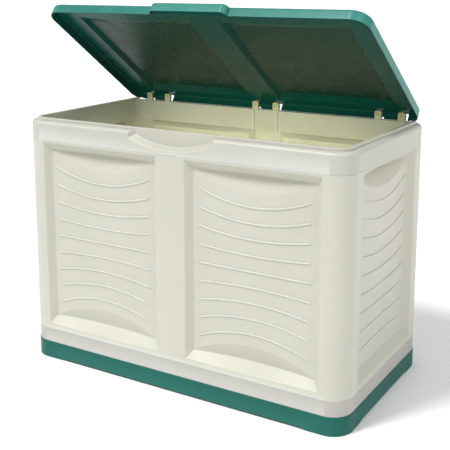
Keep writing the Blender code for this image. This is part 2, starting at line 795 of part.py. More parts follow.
def build_screw(name, site, head_low, tip, material):
    """Builds one upright self-tapping screw, with its head below."""
    profile = [
        (SCREW_HEAD_RADIUS - 0.001, head_low),
        (SCREW_HEAD_RADIUS, head_low + 0.001),
        (SCREW_HEAD_RADIUS, head_low + SCREW_HEAD),
        (SCREW_RADIUS, head_low + SCREW_HEAD),
        (SCREW_RADIUS, tip - 0.002),
        (SCREW_RADIUS * 0.4, tip),
    ]
    return finish(make_object(name, lathe(profile, site)), material)


# --- assembly --------------------------------------------------------------------------------


def clear_scene():
    """Removes whatever the scene holds."""
    for obj in list(bpy.data.objects):
        bpy.data.objects.remove(obj, do_unlink=True)


def main():
    clear_scene()
    wall_cream = make_material("wall_cream_resin", CREAM, 0.42, 0.0)
    for name in ("front", "back", "left", "right"):
        build_wall(name, wall_cream)
    build_top_frame(make_material("top_frame_cream_resin", CREAM, 0.38, 0.0))
    build_lower_frame(make_material("lower_frame_cream_resin", (0.66, 0.63, 0.57), 0.45, 0.0))
    build_base_tray(make_material("base_green_resin", (0.022, 0.175, 0.130), 0.45, 0.0))
    hinge = bpy.data.objects.new("lid_hinge_line", None)
    bpy.context.collection.objects.link(hinge)
    hinge.location = Vector((0.0, HINGE_Y, HINGE_Z))
    hinge.rotation_euler = (-REST_OPENING, 0.0, 0.0)
    build_lid(make_material("lid_green_resin", GREEN, 0.35, 0.0), hinge)
    steel = make_material("pin_steel", (0.56, 0.56, 0.55), 0.30, 1.0)
    for name, middle in PIN_SITES.items():
        build_hinge_pin("hinge_pin_" + name, middle, steel)
    zinc = make_material("screw_zinc", ZINC, 0.35, 1.0)
    for name, site in BASE_SCREW_SITES.items():
        head_low = PLINTH_TOP - 0.006 - GAP - SCREW_HEAD
        build_screw("base_screw_" + name, site, head_low, 0.0645, zinc)
    for name, site in FRAME_SCREW_SITES.items():
        head_low = WALL_TOP - 0.003 - GAP - SCREW_HEAD
        build_screw("frame_screw_" + name, site, head_low, WALL_TOP + 0.014, zinc)


main()
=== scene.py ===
"""The finished look of a resin deck storage box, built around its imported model.

Each sub-assembly is a class. It holds its own sizes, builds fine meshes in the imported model's
frame, dresses them in moulded resin or steel, and lets them ride on the box or on the lid.
"""

from __future__ import annotations

import json
import logging
import math
from collections.abc import Iterable, Sequence
from dataclasses import dataclass
from enum import Enum

import bmesh
import bpy
from mathutils import Matrix, Vector

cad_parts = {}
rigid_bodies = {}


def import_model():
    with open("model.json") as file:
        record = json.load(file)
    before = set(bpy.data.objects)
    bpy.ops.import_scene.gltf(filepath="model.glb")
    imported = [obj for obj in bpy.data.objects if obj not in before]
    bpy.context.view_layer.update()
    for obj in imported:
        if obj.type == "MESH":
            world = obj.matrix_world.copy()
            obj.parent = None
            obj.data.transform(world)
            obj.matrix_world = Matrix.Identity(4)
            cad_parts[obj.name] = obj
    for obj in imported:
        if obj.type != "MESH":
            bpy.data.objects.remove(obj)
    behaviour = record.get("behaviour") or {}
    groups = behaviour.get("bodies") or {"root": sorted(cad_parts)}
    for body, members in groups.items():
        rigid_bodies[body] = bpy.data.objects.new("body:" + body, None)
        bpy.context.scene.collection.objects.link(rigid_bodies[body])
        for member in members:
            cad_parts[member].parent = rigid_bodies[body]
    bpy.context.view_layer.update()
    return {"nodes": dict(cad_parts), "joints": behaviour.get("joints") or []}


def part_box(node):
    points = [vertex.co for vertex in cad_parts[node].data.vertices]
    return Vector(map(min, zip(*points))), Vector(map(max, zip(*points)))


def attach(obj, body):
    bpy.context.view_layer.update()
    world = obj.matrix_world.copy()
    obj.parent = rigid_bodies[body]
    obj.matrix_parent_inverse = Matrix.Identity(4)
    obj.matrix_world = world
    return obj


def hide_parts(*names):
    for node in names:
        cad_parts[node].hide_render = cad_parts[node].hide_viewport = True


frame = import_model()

logging.basicConfig(level=logging.INFO, format="%(name)s: %(message)s")
LOG = logging.getLogger("deck_box")

Point = tuple[float, float, float]
Flat = tuple[float, float]
Colour = tuple[float, float, float]

GAP = 0.0003  # clearance between pieces that touch
BOX = "box"
LID = "lid"


# --- shared sizes ----------------------------------------------------------------------------


@dataclass(frozen=True)
class Sizes:
    """Sizes that several sub-assemblies share, in metres."""

    width: float
    depth: float
    plinth_top: float
    lower_top: float
    wall_top: float
    ledge: float
    lip_top: float
    hinge: Point
    corner: float = 0.055
    wall: float = 0.005
    skin: float = 0.0025
    tongue: float = 0.016
    lip_outer: float = 0.017
    lip_inner: float = 0.026
    pocket_half: float = 0.133
    pin_sites: tuple[float, ...] = (-0.398, 0.0, 0.398)
    pin_radius: float = 0.0025
    lug_offset: float = 0.035
    lug_half: float = 0.010
    shelf: float = 0.003
    rest_opening: float = math.radians(35.0)

    @classmethod
    def from_frame(cls) -> "Sizes":
        """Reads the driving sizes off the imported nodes.

        Returns:
            The sizes that all the sub-assemblies are built to.
        """
        rim_low, rim_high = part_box("top_frame")
        ring_low, ring_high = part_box("lower_frame")
        hinge = frame["joints"][0]["pos_m"]
        lug_rise, knuckle_room, lip_room = 0.012, 0.013, 0.005
        return cls(
            width=rim_high.x - rim_low.x,
            depth=rim_high.y - rim_low.y,
            plinth_top=ring_low.z - GAP,
            lower_top=ring_high.z + GAP,
            wall_top=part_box("left_wall")[1].z - cls.tongue,
            ledge=rim_high.z - lug_rise - knuckle_room,
            lip_top=rim_high.z - lug_rise - lip_room,
            hinge=(hinge[0], hinge[1], hinge[2]),
        )


# --- finishes --------------------------------------------------------------------------------


class Shades:
    """Adds and links shader nodes in one material's tree."""

    def __init__(self, name: str) -> None:
        """Starts a node material.

        Args:
            name: The material's name.
        """
        self.material = bpy.data.materials.new(name)
        self.material.use_nodes = True
        self.tree = self.material.node_tree
        self.shader = self.tree.nodes["Principled BSDF"]
        self.place = self.tree.nodes.new("ShaderNodeTexCoord").outputs["Object"]

    def noise(self, scale: float, detail: float, stretch: Point = (1.0, 1.0, 1.0)) -> bpy.types.NodeSocket:
        """Adds noise in the piece's own coordinates.

        Args:
            scale: Waves per metre.
            detail: Octaves of finer noise.
            stretch: Scale of the pattern along each axis.

        Returns:
            The socket of the noise's value.
        """
        mapping = self.tree.nodes.new("ShaderNodeMapping")
        mapping.inputs["Scale"].default_value = stretch
        self.tree.links.new(self.place, mapping.inputs["Vector"])
        node = self.tree.nodes.new("ShaderNodeTexNoise")
        node.inputs["Scale"].default_value = scale
        node.inputs["Detail"].default_value = detail
        self.tree.links.new(mapping.outputs["Vector"], node.inputs["Vector"])
        return node.outputs["Fac"]

    def span(self, value: bpy.types.NodeSocket, source: Flat, target: Flat) -> bpy.types.NodeSocket:
        """Maps a value from one range to another, held at its ends.

        Args:
            value: The socket to map.
            source: The range that is read.
            target: The range that comes out.

        Returns:
            The mapped value's socket.
        """
        node = self.tree.nodes.new("ShaderNodeMapRange")
        self.tree.links.new(value, node.inputs["Value"])
        node.inputs["From Min"].default_value = source[0]
        node.inputs["From Max"].default_value = source[1]
        node.inputs["To Min"].default_value = target[0]
        node.inputs["To Max"].default_value = target[1]
        return node.outputs["Result"]

    def mixed(
        self, share: bpy.types.NodeSocket, first: bpy.types.NodeSocket | Colour, second: Colour
    ) -> bpy.types.NodeSocket:
        """Mixes two colours.

        Args:
            share: How much of the second colour shows.
            first: A colour, or the socket of one.
            second: The colour mixed in.

        Returns:
            The socket of the mixture.
        """
        node = self.tree.nodes.new("ShaderNodeMix")
        node.data_type = "RGBA"
        self.tree.links.new(share, node.inputs["Factor"])
        if isinstance(first, tuple):
            node.inputs["A"].default_value = (*first, 1.0)
        else:
            self.tree.links.new(first, node.inputs["A"])
        node.inputs["B"].default_value = (*second, 1.0)
        return node.outputs["Result"]

    def bumped(
        self,
        height: bpy.types.NodeSocket,
        distance: float,
        strength: float,
        normal: bpy.types.NodeSocket | None = None,
    ) -> bpy.types.NodeSocket:
        """Adds surface relief.

        Args:
            height: The relief's height, from 0 to 1.
            distance: The height of 1, in metres.
            strength: How strongly the relief shows.
            normal: Relief that this one is added to.

        Returns:
            The normal's socket.
        """
        node = self.tree.nodes.new("ShaderNodeBump")
        node.inputs["Distance"].default_value = distance
        node.inputs["Strength"].default_value = strength
        self.tree.links.new(height, node.inputs["Height"])
        if normal is not None:
            self.tree.links.new(normal, node.inputs["Normal"])
        return node.outputs["Normal"]


@dataclass(frozen=True)
class Resin:
    """Moulded resin: a fine grain, faint sink marks, flow clouds and rubbed edges.

    The last two colours, where they are given, are painted shade: darker tones that go on the faces that a
    piece marks with their names.
    """

    name: str
    colour: Colour
    cloud: Colour
    rubbed: Colour
    roughness: float
    glow: float = 0.0
    gloss: float = 0.5
    # Painted shade: darker tones for the faces under a lid and for the backs of its fields.
    underside: Colour | None = None
    field_back: Colour | None = None
    flow_scale: float = 5.0
    sheen_scale: float = 26.0
    grain_scale: float = 700.0
    grain_height: float = 0.00005
    sink_scale: float = 9.0
    sink_height: float = 0.0010
    glow_depth: float = 0.010
    refraction: float = 1.49

    def material(self) -> bpy.types.Material:
        """Builds the finish's node material.

        Returns:
            The material.
        """
        nodes = Shades(self.name)
        link = nodes.tree.links.new
        flow = nodes.span(nodes.noise(self.flow_scale, 4.0, (1.0, 1.0, 0.55)), (0.38, 0.68), (0.0, 1.0))
        colour = nodes.mixed(flow, self.colour, self.cloud)
        point = nodes.tree.nodes.new("ShaderNodeNewGeometry").outputs["Pointiness"]
        wear = nodes.span(point, (0.515, 0.60), (0.0, 0.75))
        colour = nodes.mixed(wear, colour, self.rubbed)
        # Painted shade: the marked faces are mixed towards the darker tones.
        for name, painted_shade in (("underside", self.underside), ("field_back", self.field_back)):
            if painted_shade:
                painted_shade_mask = nodes.tree.nodes.new("ShaderNodeAttribute")
                painted_shade_mask.attribute_name = name
                colour = nodes.mixed(painted_shade_mask.outputs["Fac"], colour, painted_shade)
        link(colour, nodes.shader.inputs["Base Color"])
        sheen = nodes.noise(self.sheen_scale, 5.0)
        link(
            nodes.span(sheen, (0.3, 0.7), (self.roughness - 0.05, self.roughness + 0.07)),
            nodes.shader.inputs["Roughness"],
        )
        grain = nodes.bumped(nodes.noise(self.grain_scale, 1.0), self.grain_height, 0.35)
        sink = nodes.bumped(nodes.noise(self.sink_scale, 1.0), self.sink_height, 0.20, grain)
        link(sink, nodes.shader.inputs["Normal"])
        nodes.shader.inputs["IOR"].default_value = self.refraction
        nodes.shader.inputs["Specular IOR Level"].default_value = self.gloss
        if self.glow:
            nodes.shader.inputs["Subsurface Weight"].default_value = self.glow
            nodes.shader.inputs["Subsurface Radius"].default_value = (1.0, 0.82, 0.40)
            nodes.shader.inputs["Subsurface Scale"].default_value = self.glow_depth
        return nodes.material


@dataclass(frozen=True)
class Steel:
    """Drawn or plated steel, with fine draw lines and a dull bloom."""

    name: str
    colour: Colour
    bloom: Colour
    roughness: float
    lines: Point

    def material(self) -> bpy.types.Material:
        """Builds the finish's node material.

        Returns:
            The material.
        """
        nodes = Shades(self.name)
        link = nodes.tree.links.new
        patch = nodes.span(nodes.noise(320.0, 4.0), (0.42, 0.66), (0.0, 1.0))
        link(nodes.mixed(patch, self.colour, self.bloom), nodes.shader.inputs["Base Color"])
        drawn = nodes.noise(900.0, 3.0, self.lines)
        link(
            nodes.span(drawn, (0.3, 0.7), (self.roughness - 0.08, self.roughness + 0.14)),
            nodes.shader.inputs["Roughness"],
        )
        link(nodes.bumped(drawn, 0.00004, 0.5), nodes.shader.inputs["Normal"])
        nodes.shader.inputs["Metallic"].default_value = 1.0
        return nodes.material


WALL_RESIN = Resin(
    "cream_wall_resin",
    colour=(0.560, 0.558, 0.490),
    cloud=(0.535, 0.534, 0.464),
    rubbed=(0.65, 0.65, 0.585),
    roughness=0.42,
    glow=0.5,
)
# The rim's cream is set darker than the walls': partly painted shade against the light on its upward faces.
RIM_RESIN_WITH_PAINTED_SHADE = Resin(
    "cream_rim_resin_with_painted_shade",
    colour=(0.515, 0.513, 0.450),
    cloud=(0.492, 0.490, 0.428),
    rubbed=(0.66, 0.66, 0.60),
    roughness=0.36,
    glow=0.5,
)
FOOT_RESIN = Resin(
    "cream_foot_resin",
    colour=(0.440, 0.428, 0.398),
    cloud=(0.418, 0.405, 0.370),
    rubbed=(0.56, 0.55, 0.51),
    roughness=0.44,
    glow=0.3,
)
# The lugs' cream is set yellower than the rim's: partly painted warm light on the lugs under the lid's
# shadow.
LUG_RESIN_WITH_PAINTED_LIGHT = Resin(
    "cream_lug_resin_with_painted_light",
    colour=(0.560, 0.530, 0.350),
    cloud=(0.530, 0.500, 0.320),
    rubbed=(0.62, 0.60, 0.46),
    roughness=0.42,
    glow=0.3,
)
PLINTH_RESIN = Resin(
    "green_plinth_resin",
    colour=(0.011, 0.110, 0.088),
    cloud=(0.010, 0.098, 0.077),
    rubbed=(0.04, 0.19, 0.155),
    roughness=0.42,
    gloss=0.13,
)
LID_RESIN_WITH_PAINTED_SHADE = Resin(
    "green_lid_resin_with_painted_shade",
    colour=(0.030, 0.205, 0.170),
    cloud=(0.025, 0.180, 0.146),
    rubbed=(0.08, 0.32, 0.27),
    roughness=0.27,
    gloss=0.20,
    # Painted shade: the underside and field_back tones darken the faces under the lid and the backs of its
    # fields.
    underside=(0.004, 0.068, 0.054),
    field_back=(0.004, 0.042, 0.029),
)
PIN_STEEL = Steel("drawn_pin_steel", (0.56, 0.56, 0.55), (0.40, 0.39, 0.37), 0.28, (0.1, 1.0, 1.0))
SCREW_ZINC = Steel("plated_screw_zinc", (0.62, 0.61, 0.56), (0.46, 0.45, 0.42), 0.34, (1.0, 1.0, 0.1))


# --- mesh code -------------------------------------------------------------------------------


def rounded(points: Sequence[Flat], radii: Sequence[float], steps: int = 3) -> list[Flat]:
    """Rounds the corners of a closed outline.

    Args:
        points: The outline's sharp corners.
        radii: How far each corner's rounding reaches along its two sides.
        steps: Segments in one rounding.

    Returns:
        The outline's points, the same number for any lengths of its sides.
    """
    outline: list[Flat] = []
    for i, ((x, y), radius) in enumerate(zip(points, radii)):
        if radius == 0.0:
            outline.append((x, y))
            continue
        ends = []
        for nx, ny in (points[i - 1], points[(i + 1) % len(points)]):
            length = math.hypot(nx - x, ny - y)
            share = min(radius, 0.45 * length) / length if length > 1e-9 else 0.0
            ends.append((x + (nx - x) * share, y + (ny - y) * share))
        for k in range(steps + 1):
            t = k / steps
            a, b, c = (1 - t) ** 2, 2 * t * (1 - t), t * t
            outline.append((a * ends[0][0] + b * x + c * ends[1][0], a * ends[0][1] + b * y + c * ends[1][1]))
    return outline


def rounded_rectangle(low: Flat, high: Flat, radius: float, steps: int = 14) -> list[Flat]:
    """Lays out a rounded rectangle, anticlockwise.

    Args:
        low: Its lowest x and y.
        high: Its highest x and y.
        radius: The corners' radius.
        steps: Segments in one corner.

    Returns:
        The outline's points.
    """
    radius = max(radius, 0.0005)
    points: list[Flat] = []
    for cx, cy, start in (
        (high[0] - radius, high[1] - radius, 0.0),
        (low[0] + radius, high[1] - radius, 90.0),
        (low[0] + radius, low[1] + radius, 180.0),
        (high[0] - radius, low[1] + radius, 270.0),
    ):
        for i in range(steps + 1):
            turn = math.radians(start + 90.0 * i / steps)
            points.append((cx + radius * math.cos(turn), cy + radius * math.sin(turn)))
    return points


def eased(t: float, soft: float) -> float:
    """Ramps from 0 to 1 with both ends rounded.

    Args:
        t: Where on the ramp, from 0 at its foot to 1 at its top.
        soft: How far each rounding reaches, both ways.

    Returns:
        The height of the ramp there.
    """
    if t <= -soft:
        return 0.0
    if t >= 1.0 + soft:
        return 1.0
    if t < soft:
        return (t + soft) ** 2 / (4 * soft)
    if t > 1.0 - soft:
        return 1.0 - (1.0 + soft - t) ** 2 / (4 * soft)
    return t


class Shell:
    """Collects faces with shared corners and makes a piece of them."""

    def __init__(self) -> None:
        """Starts with no faces."""
        self.bm = bmesh.new()
        self.shared: dict[Point, bmesh.types.BMVert] = {}

    def face(self, corners: Iterable[Point]) -> None:
        """Adds one face, leaving out corners that coincide.

        Args:
            corners: The face's corners, in order.
        """
        verts: list[bmesh.types.BMVert] = []
        for corner in corners:
            key = (round(corner[0], 6), round(corner[1], 6), round(corner[2], 6))
            if key not in self.shared:
                self.shared[key] = self.bm.verts.new(corner)
            if self.shared[key] not in verts:
                verts.append(self.shared[key])
        if len(verts) > 2 and self.bm.faces.get(verts) is None:
            self.bm.faces.new(verts)

    def loft(self, loops: Sequence[Sequence[Point]], ring: bool = False) -> None:
        """Skins a stack of equal loops.

        Args:
            loops: The loops, each with the same number of points.
            ring: Whether the last loop joins the first. The ends are capped if it doesn't.
        """
        pairs = list(zip(loops, loops[1:]))
        if ring:
            pairs.append((loops[-1], loops[0]))
        for low, high in pairs:
            for i in range(len(low)):
                j = (i + 1) % len(low)
                self.face((low[i], low[j], high[j], high[i]))
        if not ring:
            self.face(loops[0])
            self.face(loops[-1])

    def block(self, low: Point, high: Point) -> None:
        """Adds a box.

        Args:
            low: Its lowest corner.
            high: Its highest corner.
        """
        (x0, y0, z0), (x1, y1, z1) = low, high
        plan = ((x0, y0), (x1, y0), (x1, y1), (x0, y1))
        self.loft([[(x, y, z) for x, y in plan] for z in (z0, z1)])

    def mesh(self, name: str) -> bpy.types.Mesh:
        """Closes the collection.

        Args:
            name: The mesh's name.

        Returns:
            The mesh, with its faces outwards.
        """
        bmesh.ops.remove_doubles(self.bm, verts=self.bm.verts, dist=1e-6)
        bmesh.ops.dissolve_degenerate(self.bm, edges=self.bm.edges, dist=1e-7)
        bmesh.ops.recalc_face_normals(self.bm, faces=self.bm.faces)
        mesh = bpy.data.meshes.new(name)
        self.bm.to_mesh(mesh)
        self.bm.free()
        return mesh

    def piece(self, name: str) -> bpy.types.Object:
        """Makes the collection an object in the scene.

        Args:
            name: The object's name.

        Returns:
            The object.
        """
        obj = bpy.data.objects.new(name, self.mesh(name))
        bpy.context.scene.collection.objects.link(obj)
        return obj


def settle(obj: bpy.types.Object) -> bpy.types.Object:
    """Applies an object's modifiers, so that a plain mesh is left.

    Args:
        obj: The object.

    Returns:
        The same object.
    """
    graph = bpy.context.evaluated_depsgraph_get()
    made = bpy.data.meshes.new_from_object(obj.evaluated_get(graph))
    obj.modifiers.clear()
    old = obj.data
    obj.data = made
    made.name = obj.name
    bpy.data.meshes.remove(old)
    return obj


def combine(target: bpy.types.Object, tool: Shell, operation: str) -> None:
    """Joins or cuts a solid.

    Args:
        target: The piece that changes.
        tool: The solid added or taken away.
        operation: UNION or DIFFERENCE.
    """
    helper = tool.piece(target.name + "_tool")
    modifier = target.modifiers.new(operation.lower(), "BOOLEAN")
    modifier.operation = operation
    modifier.solver = "EXACT"
    modifier.object = helper
    settle(target)
    bpy.data.objects.remove(helper)


def smooth(obj: bpy.types.Object, angle: float = 38.0) -> bpy.types.Object:
    """Shades a piece smooth and keeps its flats flat.

    Args:
        obj: The piece.
        angle: The sharpest bend, in degrees, that is still shaded smooth.

    Returns:
        The same piece.
    """
    bm = bmesh.new()
    bm.from_mesh(obj.data)
    for edge in bm.edges:
        edge.smooth = edge.calc_face_angle(math.pi) < math.radians(angle)
    for face in bm.faces:
        face.smooth = True
    bm.to_mesh(obj.data)
    bm.free()
    modifier = obj.modifiers.new("flats", "WEIGHTED_NORMAL")
    modifier.weight = 80
    modifier.keep_sharp = True
    return settle(obj)


@dataclass(frozen=True)
class Dress:
    """How a piece is finished and carried."""

    material: bpy.types.Material
    slot: str
    body: str = BOX

    def put_on(self, obj: bpy.types.Object, *nodes: str) -> bpy.types.Object:
        """Dresses a piece and lets it ride.

        Args:
            obj: The finished piece.
            nodes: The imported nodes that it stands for.

        Returns:
            The same piece.
        """
        obj.data.materials.clear()
        obj.data.materials.append(self.material)
        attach(obj, self.body)
        if nodes:
            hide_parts(*nodes)
        LOG.info("%s: %d faces on %s", obj.name, len(obj.data.polygons), self.body)
        return obj


# --- node trees ------------------------------------------------------------------------------


class Tree:
    """A Geometry Nodes tree that ends in Realize Instances and Set Material."""

    def __init__(self, name: str, inputs: dict[str, tuple[str, float | int]]) -> None:
        """Starts a tree.

        Args:
            name: The tree's name.
            inputs: Each named input's socket type and its value to start with.
        """
        self.group = bpy.data.node_groups.new(name, "GeometryNodeTree")
        face = self.group.interface
        face.new_socket("Geometry", in_out="INPUT", socket_type="NodeSocketGeometry")
        for label, (kind, value) in inputs.items():
            face.new_socket(label, in_out="INPUT", socket_type=kind).default_value = value
        face.new_socket("Finish", in_out="INPUT", socket_type="NodeSocketMaterial")
        face.new_socket("Geometry", in_out="OUTPUT", socket_type="NodeSocketGeometry")
        self.inlet = self.group.nodes.new("NodeGroupInput").outputs

    def node(self, kind: str, options: dict[str, object] | None = None, **links: object) -> bpy.types.Node:
        """Adds a node.

        Args:
            kind: The node's type.
            options: The node's own settings.
            links: For each input, by its name with _ for a space, a socket or a value.

        Returns:
            The node.
        """
        made = self.group.nodes.new(kind)
        for key, value in (options or {}).items():
            setattr(made, key, value)
        for key, value in links.items():
            found = [s for s in made.inputs if s.name == key.replace("_", " ") and s.enabled]
            if isinstance(value, bpy.types.NodeSocket):
                self.group.links.new(value, found[0])
            else:
                found[0].default_value = value
        return made

    def maths(self, operation: str, first: object, second: object = 0.0) -> bpy.types.NodeSocket:
        """Adds a sum on one or two numbers.

        Args:
            operation: What is done, such as MULTIPLY.
            first: A socket or a number.
            second: A socket or a number.

        Returns:
            The result's socket.
        """
        made = self.group.nodes.new("ShaderNodeMath")
        made.operation = operation
        for socket, value in zip(made.inputs, (first, second)):
            if isinstance(value, bpy.types.NodeSocket):
                self.group.links.new(value, socket)
            else:
                socket.default_value = value
        return made.outputs["Value"]

    def close(self, shape: bpy.types.NodeSocket) -> None:
        """Ends the tree: smooth faces, real copies, and the finish.

        Args:
            shape: The socket of what the tree has built.
        """
        soft = self.node("GeometryNodeSetShadeSmooth", Geometry=shape)
        real = self.node("GeometryNodeRealizeInstances", Geometry=soft.outputs["Geometry"])
        dressed = self.node(
            "GeometryNodeSetMaterial", Geometry=real.outputs["Geometry"], Material=self.inlet["Finish"]
        )
        outlet = self.group.nodes.new("NodeGroupOutput")
        self.group.links.new(dressed.outputs["Geometry"], outlet.inputs["Geometry"])

    def run(
        self, name: str, sites: Sequence[Point], finish: bpy.types.Material, values: dict[str, float | int]
    ) -> bpy.types.Object:
        """Runs the tree on a set of places.

        Args:
            name: The piece's name.
            sites: The places, which are the tree's geometry.
            finish: The material that the tree sets.
            values: The named inputs' values.

        Returns:
            The plain object that the tree made.
        """
        mesh = bpy.data.meshes.new(name)
        mesh.from_pydata(list(sites), [], [])
        obj = bpy.data.objects.new(name, mesh)
        bpy.context.scene.collection.objects.link(obj)
        modifier = obj.modifiers.new("tree", "NODES")
        modifier.node_group = self.group
        sockets = {s.name: s.identifier for s in self.group.interface.items_tree if s.in_out == "INPUT"}
        for label, value in {**values, "Finish": finish}.items():
            modifier[sockets[label]] = value
        return settle(obj)


def rib_tree() -> Tree:
    """Builds the tree that lays a stack of bowed half-round ribs on a flat panel.

    The ribs lie in the XY plane and stand out along Z. The stack fans out from a straight rib in
    the middle, and a rib runs out to nothing at both ends. One stack stands at each place given.

    Returns:
        The tree.
    """
    number, whole = "NodeSocketFloat", "NodeSocketInt"
    tree = Tree(
        "bowed_ribs",
        {
            "Ribs": (whole, 9),
            "Points": (whole, 61),
            "Half Length": (number, 0.16),
            "Pitch": (number, 0.05),
            "Bow": (number, 0.03),
            "Sag": (number, 0.0),
            "Rib Width": (number, 0.006),
            "Rib Height": (number, 0.0024),
        },
    )
    inlet, maths = tree.inlet, tree.maths
    line = tree.node("GeometryNodeCurvePrimitiveLine", Start=(-1.0, 0.0, 0.0), End=(1.0, 0.0, 0.0))
    fine = tree.node("GeometryNodeResampleCurve", Curve=line.outputs["Curve"], Count=inlet["Points"])
    dots = tree.node("GeometryNodePoints", Count=inlet["Ribs"])
    lines = tree.node("GeometryNodeInstanceOnPoints", Points=dots.outputs[0], Instance=fine.outputs["Curve"])
    real = tree.node("GeometryNodeRealizeInstances", Geometry=lines.outputs["Instances"])
    index = tree.node("GeometryNodeInputIndex").outputs["Index"]
    rib = maths("FLOOR", maths("DIVIDE", maths("ADD", index, 0.5), inlet["Points"]))
    spot = maths("SUBTRACT", index, maths("MULTIPLY", rib, inlet["Points"]))
    share = maths("DIVIDE", spot, maths("SUBTRACT", inlet["Points"], 1.0))
    along = maths("SINE", maths("MULTIPLY", maths("SUBTRACT", share, 0.5), math.pi))
    middle = maths("DIVIDE", maths("SUBTRACT", inlet["Ribs"], 1.0), 2.0)
    step = maths("SUBTRACT", middle, rib)
    hump = maths("SUBTRACT", 1.0, maths("MULTIPLY", along, along))
    fan = maths("MULTIPLY", inlet["Bow"], maths("DIVIDE", step, middle))
    sag = maths("MULTIPLY", maths("ADD", fan, inlet["Sag"]), hump)
    rise = maths("SUBTRACT", maths("MULTIPLY", step, inlet["Pitch"]), sag)
    place = tree.node("ShaderNodeCombineXYZ", X=maths("MULTIPLY", along, inlet["Half Length"]), Y=rise)
    moved = tree.node(
        "GeometryNodeSetPosition", Geometry=real.outputs["Geometry"], Position=place.outputs["Vector"]
    )
    run_out = maths("SQRT", maths("MINIMUM", 1.0, maths("MULTIPLY", 40.0, maths("MAXIMUM", hump, 0.00002))))
    sized = tree.node("GeometryNodeSetCurveRadius", Curve=moved.outputs["Geometry"], Radius=run_out)
    upright = tree.node("GeometryNodeSetCurveNormal", {"mode": "Z_UP"}, Curve=sized.outputs["Curve"])
    ring = tree.node("GeometryNodeCurvePrimitiveCircle", Resolution=12, Radius=1.0)
    half = maths("MULTIPLY", inlet["Rib Width"], 0.5)
    flat = tree.node("ShaderNodeCombineXYZ", X=half, Y=inlet["Rib Height"], Z=1.0)
    oval = tree.node("GeometryNodeTransform", Geometry=ring.outputs["Curve"], Scale=flat.outputs["Vector"])
    beads = tree.node(
        "GeometryNodeCurveToMesh",
        Curve=upright.outputs["Curve"],
        Profile_Curve=oval.outputs["Geometry"],
        Fill_Caps=True,
    )
    stacks = tree.node(
        "GeometryNodeInstanceOnPoints", Points=inlet["Geometry"], Instance=beads.outputs["Mesh"]
    )
    tree.close(stacks.outputs["Instances"])
    return tree


def fastener_tree() -> Tree:
    """Builds the tree that stands a headed fastener with a round tip at each place.

    The shank runs up Z from the place, and the head hangs below it.

    Returns:
        The tree.
    """
    number = "NodeSocketFloat"
    tree = Tree(
        "headed_fasteners",
        {
            "Shank Radius": (number, 0.0016),
            "Shank Length": (number, 0.018),
            "Tip Length": (number, 0.002),
            "Head Radius": (number, 0.0035),
            "Head Height": (number, 0.0022),
            "Recess": (number, 0.0),
        },
    )
    inlet, maths = tree.inlet, tree.maths

    def stand(shape: bpy.types.NodeSocket, rise: bpy.types.NodeSocket) -> bpy.types.NodeSocket:
        """Lifts a shape.

        Args:
            shape: The shape's socket.
            rise: How far it is lifted.

        Returns:
            The lifted shape's socket.
        """
        place = tree.node("ShaderNodeCombineXYZ", Z=rise)
        lifted = tree.node("GeometryNodeTransform", Geometry=shape, Translation=place.outputs["Vector"])
        return lifted.outputs["Geometry"]

    shank_length = maths("SUBTRACT", inlet["Shank Length"], inlet["Tip Length"])
    shank = tree.node(
        "GeometryNodeMeshCylinder", Vertices=20, Radius=inlet["Shank Radius"], Depth=shank_length
    )
    tip = tree.node(
        "GeometryNodeMeshCone",
        Vertices=20,
        Radius_Top=maths("MULTIPLY", inlet["Shank Radius"], 0.45),
        Radius_Bottom=inlet["Shank Radius"],
        Depth=inlet["Tip Length"],
    )
    brim = maths("MULTIPLY", inlet["Head Height"], 0.6)
    head = tree.node("GeometryNodeMeshCylinder", Vertices=28, Radius=inlet["Head Radius"], Depth=brim)
    dome_height = maths("SUBTRACT", inlet["Head Height"], brim)
    dome = tree.node(
        "GeometryNodeMeshCone",
        Vertices=28,
        Radius_Top=inlet["Head Radius"],
        Radius_Bottom=maths("MULTIPLY", inlet["Head Radius"], 0.72),
        Depth=dome_height,
    )
    under = maths("MULTIPLY", inlet["Head Height"], -1.0)
    slot_long = maths("MULTIPLY", inlet["Recess"], 2.0)
    slot_thin = maths("MULTIPLY", inlet["Recess"], 0.36)
    slot_deep = maths("MULTIPLY", inlet["Recess"], 1.1)
    join = tree.group.nodes.new("GeometryNodeJoinGeometry")
    for part in (
        stand(shank.outputs["Mesh"], maths("MULTIPLY", shank_length, 0.5)),
        stand(tip.outputs["Mesh"], shank_length),
        stand(head.outputs["Mesh"], maths("MULTIPLY", brim, -0.5)),
        stand(dome.outputs["Mesh"], under),
    ):
        tree.group.links.new(part, join.inputs[0])
    cutters = []
    for x, y in ((slot_long, slot_thin), (slot_thin, slot_long)):
        size = tree.node("ShaderNodeCombineXYZ", X=x, Y=y, Z=slot_deep)
        arm = tree.node("GeometryNodeMeshCube", Size=size.outputs["Vector"])
        cutters.append(stand(arm.outputs["Mesh"], under))
    cut = tree.node("GeometryNodeMeshBoolean", {"operation": "DIFFERENCE", "solver": "EXACT"})
    tree.group.links.new(join.outputs["Geometry"], cut.inputs["Mesh 1"])
    for cutter in cutters:
        tree.group.links.new(cutter, cut.inputs["Mesh 2"])
    recessed = tree.node(
        "GeometryNodeSwitch",
        {"input_type": "GEOMETRY"},
        Switch=maths("GREATER_THAN", inlet["Recess"], 0.0),
        **{"False": join.outputs["Geometry"], "True": cut.outputs["Mesh"]},
    )
    stood = tree.node(
        "GeometryNodeInstanceOnPoints", Points=inlet["Geometry"], Instance=recessed.outputs["Output"]
    )
    tree.close(stood.outputs["Instances"])
    return tree


# --- walls -----------------------------------------------------------------------------------


class Side(Enum):
    """The four walls, each with the way it faces."""

    FRONT = -1
    BACK = 1
    LEFT = -2
    RIGHT = 2

    @property
    def sign(self) -> int:
        """Returns -1 towards the front or left, and 1 towards the back or right."""
        return 1 if self.value > 0 else -1

    @property
    def is_long(self) -> bool:
        """Tells whether the wall runs along X and wraps round the corners."""
        return abs(self.value) == 1


